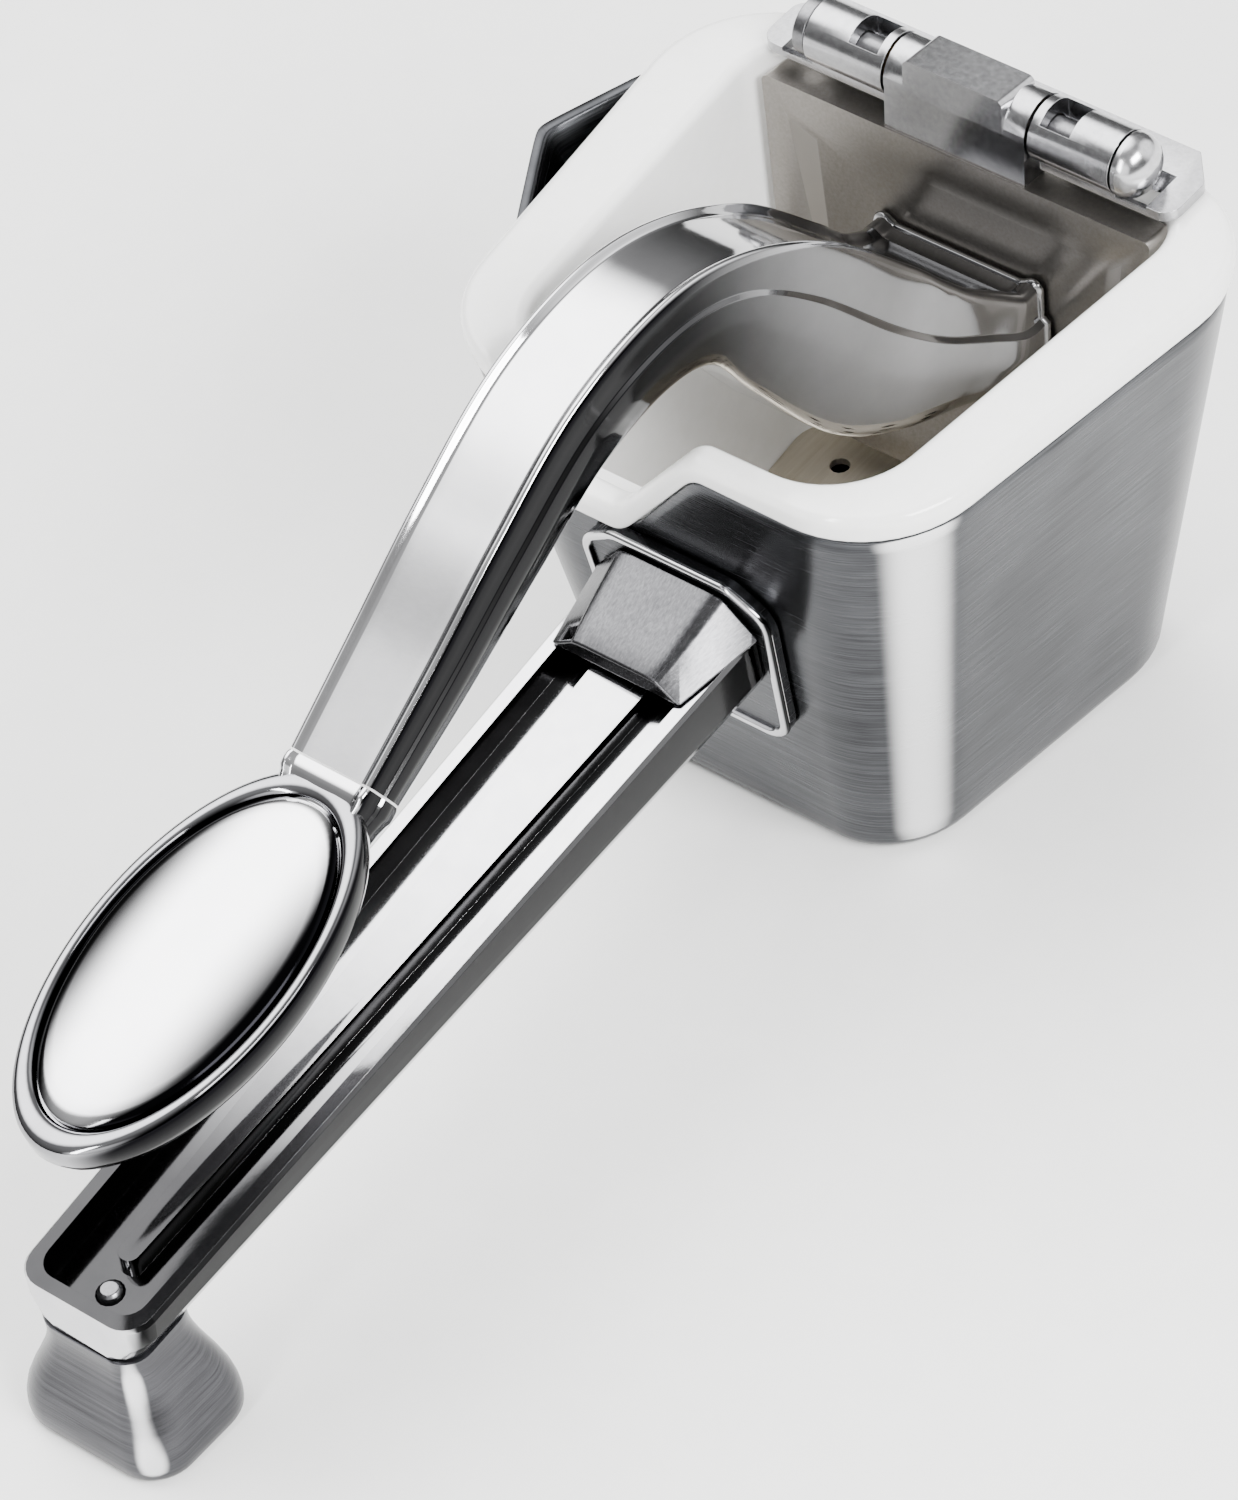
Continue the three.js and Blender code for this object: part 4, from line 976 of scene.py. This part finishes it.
@dataclass
class Pad:
    """The oval thumb pad: a ring-edged body and a domed mirror face."""

    length: float = 60.6
    width: float = 32.2
    thickness: float = 8.5
    tilt: float = math.radians(13)
    ring: float = 2.2
    recess: float = 1.6
    dome: float = 2.6
    face_low: float = 0.3
    segments: int = 96
    face_steps: int = 16
    neck_rings: Levels = (
        (0.3, 0.0), (0.8, 0.5), (1.6, 0.7), (2.4, 0.5), (3.0, -0.2), (4.5, -0.9), (8.0, -1.8))
    arm_before: float = 0.985

    def build(self) -> list[Piece]:
        """Build, dress and return the pad's pieces."""
        body = dressed(self._body(), RIM_CHROME, LEVER_BODY, "pad_chrome", "thumb_pad")
        face = dressed(self._face(), PAD_CHROME, LEVER_BODY, "pad_mirror", "pad_face_plate")
        neck = dressed(self._neck(), MIRROR_CHROME, LEVER_BODY, "pad_chrome")
        return [body, face, neck]

    def _centre(self) -> Vector:
        """The pad's middle, in the cup's frame."""
        low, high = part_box("pad_face_plate")
        lift = self.thickness / 2 - self.recess + self.face_low + (1 + self.dome) / 2
        middle = (low + high) / 2 / MM - Vector((SEAT.x, SEAT.y, 0))
        return Vector((0, middle.y, middle.z)) - Vector((0, -math.sin(self.tilt), math.cos(self.tilt))) * lift

    def _oval(self, name: str, levels: Sequence[tuple[float, float]]) -> Piece:
        """Skin ovals set in from the pad's outline.

        Args:
            name: the piece's name.
            levels: inset and height of each oval.

        Returns:
            The piece.
        """
        centre = self._centre()
        turn = Matrix.Rotation(self.tilt, 3, "X")
        stretch = self.length / self.width
        rings = []
        for inset, height in levels:
            radius = self.width / 2 - inset
            ring = []
            for k in range(self.segments):
                angle = 2 * math.pi * k / self.segments
                flat = Vector((radius * math.cos(angle), radius * stretch * math.sin(angle), height))
                ring.append(SEAT.at(*(centre + turn @ flat)))
            rings.append(ring)
        return skin(name, rings)

    def _body(self) -> Piece:
        """Underside, rounded flank, bevelled ring and the floor of the recess."""
        top = self.thickness / 2
        levels = [(9.0, -top), (6.0, -top + 0.05), (4.2, -top + 0.35), (2.8, -top + 1.0), (1.6, -top + 1.9),
                  (0.7, -top + 3.0), (0.2, -top + 4.0), (0.0, -top + 5.0), (0.0, top - 1.3), (0.1, top - 0.8),
                  (0.32, top - 0.36), (0.7, top - 0.08), (1.1, top), (1.5, top - 0.1), (1.85, top - 0.36),
                  (2.05, top - 0.7), (self.ring, top - 1.2), (self.ring, top - self.recess),
                  (8.0, top - self.recess)]
        return self._oval("pad_body", levels)

    def _face(self) -> Piece:
        """The domed face, down in the recess."""
        edge = self.ring + 0.2
        base = self.thickness / 2 - self.recess + self.face_low
        half = self.width / 2
        levels = [(6.0, base), (edge, base), (edge, base + 0.7), (edge + 0.15, base + 0.95)]
        for i in range(1, self.face_steps):
            share = i / self.face_steps
            levels.append((half - (half - edge) * (1 - share), base + 1 + self.dome * (1 - (1 - share) ** 2)))
        levels.append((half - 0.05, base + 1 + self.dome))
        return self._oval("pad_face_dome", levels)

    def _neck(self) -> Piece:
        """The short neck between the arm's end and the pad, with a small ridge."""
        lever = Lever()
        stations = lever.stations()
        y, z, depth, half = stations[-1]
        before = curve_through(stations, self.arm_before)
        along = Vector((0, y - before[0], z - before[1])).normalized()
        up = Vector((0, along.z, -along.y))
        rings = []
        for reach, grow in self.neck_rings:
            wide = half + 0.5 * min(grow, 0.2)
            rings.append(lever.ring(Vector((0, y, z)) + along * reach, up, depth + grow, wide))
        return skin("pad_neck", rings)


# ---- Lower handle and foot ----


@dataclass
class Handle:
    """The collar, the channel handle, its screws and the flared foot.

    foot_levels are shares of the foot's height and its size there. bead_corners are x, z and round.
    """

    run: float = 124.6
    root_y: float = -38.1
    root_top: float = 43.2
    fall: float = 17.2
    root_depth: float = 11.5
    depth_lost: float = 4.3
    foot_half_width: float = 13.0
    foot_half_depth: float = 10.0
    foot_corner: float = 6
    foot_gap: float = 0.3
    foot_y: float = -156.3
    foot_levels: Levels = (
        (0.0, 0.9), (0.004, 0.93), (0.02, 0.965), (0.06, 0.995), (0.12, 1.0), (0.2, 0.99), (0.3, 0.955),
        (0.42, 0.885), (0.52, 0.815), (0.62, 0.75), (0.72, 0.695), (0.82, 0.662), (0.9, 0.655), (1.0, 0.665))
    bead: float = 0.75
    bead_out: float = 1.9
    bead_sides: int = 12
    bead_corners: tuple[Corner, ...] = (
        (14.3, 22.0, 4.2), (15.8, 48.2, 4.2), (9.8, 52.2, 4.2), (-9.8, 52.2, 4.2), (-15.8, 48.2, 4.2),
        (-14.3, 22.0, 4.2))

    def build(self) -> list[Piece]:
        """Build, dress and return the handle's pieces."""
        made = [
            # The collar plate takes the shell's darker brushed steel: a painted shade over the whole plate.
            dressed(softened("handle_flange", "collar_plate", 0.35), BRUSHED_SHELL, CUP_BODY,
                    "collar_chrome", "handle_flange"),
            dressed(softened("handle_hood", "collar_hood", 0.5), SATIN_HOOD, CUP_BODY,
                    "collar_steel", "handle_hood"),
            dressed(softened("lower_handle", "channel_handle", 0.45, 24), HANDLE_CHROME, CUP_BODY,
                    "handle_chrome", "lower_handle"),
            dressed(self._foot(), BRUSHED_FOOT, CUP_BODY, "foot_steel", "foot_block"),
            dressed(self._bead(), HANDLE_CHROME, CUP_BODY, "collar_chrome"),
        ]
        for node in ("handle_screw_1", "handle_screw_2", "foot_screw"):
            head = softened(node, f"{node}_head", 0.15)
            made.append(dressed(head, SATIN_SCREW, CUP_BODY, "screw_steel", node))
        return made

    def _foot(self) -> Piece:
        """The foot: a rounded square that flares below its waist."""
        wide, deep, corner = self.foot_half_width, self.foot_half_depth, self.foot_corner
        outline = rounded([
            (-wide, -deep, corner), (wide, -deep, corner),
            (wide, deep, corner), (-wide, deep, corner)], 10, (6,))
        rings = []
        for share, size in self.foot_levels:
            ring = []
            for point in outline:
                y = self.foot_y + point.y * size
                ring.append(SEAT.at(point.x * size, y, share * (self.underside(y) - self.foot_gap)))
            rings.append(ring)
        return skin("foot_casting", rings)

    def underside(self, y: float) -> float:
        """Height of the handle's underside at a place along it."""
        share = (self.root_y - y) / self.run
        return self.root_top - self.fall * share - (self.root_depth - self.depth_lost * share)

    def _bead(self) -> Piece:
        """The bright bead round the collar plate's upper edge."""
        path = rounded(self.bead_corners, 6, (8, 3, 6, 3, 8, 6))
        rings = []
        count = len(path)
        for i, point in enumerate(path):
            before, after = path[i - 1], path[(i + 1) % count]
            along = (after - before).normalized()
            side = Vector((along.y, -along.x))
            ring = []
            for k in range(self.bead_sides):
                angle = 2 * math.pi * k / self.bead_sides
                at = point + side * self.bead * math.cos(angle) - side * self.bead
                wall = self.root_y + (1 - at.y / Taper.height) * Taper.end_draft - self.bead_out
                ring.append(SEAT.at(at.x, wall - self.bead * math.sin(angle), at.y))
            rings.append(ring)
        rings.append(rings[0])
        return skin("collar_bead", rings, joined=True)


# ---- Studio ----


@dataclass
class Studio:
    """Floor, lights and camera.

    Each patch of sky is a direction, the cosines where it starts and where it is full, and its power. Each
    card is a name, a place in metres, a width, a height and a power.
    """

    azimuth: float = math.radians(42.4)
    elevation: float = math.radians(42.65)
    roll: float = math.radians(7.2)
    distance: float = 1.0
    view_width_mm: float = 162.4672
    sensor: float = 36.0
    floor_half: float = 2.0
    floor_drop_mm: float = 0.2
    sky_low: float = 0.06
    sky_high: float = 0.7
    patches: tuple[tuple[Corner, float, float, float], ...] = (
        ((-0.5, 0.12, 0.85), 0.75, 0.99, 7.6),
        ((0.6, 0.7, 0.4), 0.78, 0.97, 2.4),
        ((0.35, -0.9, 0.2), 0.86, 0.98, 2.6),
    )
    cards: tuple[tuple[str, Corner, float, float, float], ...] = (
        ("edge", (0.1, -1.3, 0.8), 0.16, 1.0, 14.0),
        ("fill", (1.1, -0.1, 1.0), 0.8, 0.5, 42.0),
    )
    lit: Corner = (0, 0, 0.04)
    aim: Vector = field(default_factory=lambda: Vector((-0.4, -52.1, 28.2)))

    def build(self) -> None:
        """Set the floor, the lights and the camera."""
        self._floor()
        self._sky()
        for card in self.cards:
            self._card(*card)
        self._camera()

    def _floor(self) -> None:
        """A plain pale floor."""
        bm = bmesh.new()
        bmesh.ops.create_grid(bm, x_segments=1, y_segments=1, size=self.floor_half)
        bmesh.ops.translate(bm, verts=bm.verts, vec=(0, 0, -self.floor_drop_mm * MM))
        floor = object_from(bm, "floor")
        floor.data.materials.append(PALE_BOARD.material())

    def _sky(self) -> None:
        """Soft light from a few broad patches of sky, with a dark horizon between them."""
        world = bpy.data.worlds.new("studio")
        bpy.context.scene.world = world
        world.use_nodes = True
        tree = world.node_tree
        tree.nodes.clear()
        place = add_node(tree, "ShaderNodeTexCoord").outputs["Generated"]
        height = add_node(tree, "ShaderNodeSeparateXYZ", inputs={0: place}).outputs["Z"]
        total = mapped(tree, height, (0.0, 1.0), self.sky_low, self.sky_high, "LINEAR")
        for towards, edge, core, power in self.patches:
            near = add_node(tree, "ShaderNodeVectorMath", {"operation": "DOT_PRODUCT"}, {
                0: place, 1: Vector(towards).normalized()}).outputs["Value"]
            glow = mapped(tree, near, (edge, core), 0.0, power, "SMOOTHERSTEP")
            total = add_node(tree, "ShaderNodeMath", inputs={0: total, 1: glow}).outputs[0]
        light = add_node(tree, "ShaderNodeBackground", inputs={"Strength": total})
        light.inputs["Color"].default_value = linear("FFFFFF")
        add_node(tree, "ShaderNodeOutputWorld", inputs={"Surface": light.outputs[0]})

    def _card(self, name: str, place: Corner, width: float, height: float, power: float) -> None:
        """Hang a soft light panel that faces the press.

        Args:
            name: the light's name.
            place: where it hangs, in metres.
            width: its width in metres.
            height: its height in metres.
            power: its power in watts.
        """
        light = bpy.data.lights.new(name, "AREA")
        light.shape = "RECTANGLE"
        light.size = width
        light.size_y = height
        light.energy = power
        panel = bpy.data.objects.new(name, light)
        panel.location = place
        panel.rotation_euler = (Vector(self.lit) - Vector(place)).to_track_quat("-Z", "Y").to_euler()
        bpy.context.scene.collection.objects.link(panel)

    def _camera(self) -> None:
        """A long lens on the right of the handles, looking down."""
        sin_a, cos_a = math.sin(self.azimuth), math.cos(self.azimuth)
        sin_e, cos_e = math.sin(self.elevation), math.cos(self.elevation)
        towards = Vector((sin_a * cos_e, -cos_a * cos_e, sin_e))
        rim = SEAT.at(0, 0, Taper.height)
        place = rim + towards * self.distance
        across = Vector((cos_a, sin_a, 0))
        down = Vector((sin_e * sin_a, -sin_e * cos_a, -cos_e))
        up_hint = across * math.sin(self.roll) - down * math.cos(self.roll)
        forward = (SEAT.at(*self.aim) - place).normalized()
        right = forward.cross(up_hint).normalized()
        up = right.cross(forward)
        lens = bpy.data.cameras.new("lens")
        lens.sensor_fit = "HORIZONTAL"
        lens.sensor_width = self.sensor
        lens.lens = self.sensor * self.distance / MM / self.view_width_mm
        camera = bpy.data.objects.new("camera", lens)
        camera.matrix_world = Matrix((
            (right.x, up.x, -forward.x, place.x),
            (right.y, up.y, -forward.y, place.y),
            (right.z, up.z, -forward.z, place.z),
            (0, 0, 0, 1)))
        bpy.context.scene.collection.objects.link(camera)
        bpy.context.scene.camera = camera


def main() -> None:
    """Build the press in order, then the studio."""
    logging.basicConfig(level=logging.INFO, format="%(message)s")
    for group in (Cup(), Hinge(), Lever(), Pad(), Handle()):
        LOG.info("%s done: %s", type(group).__name__, ", ".join(piece.name for piece in group.build()))
    Studio().build()


if __name__ == "__main__":
    main()
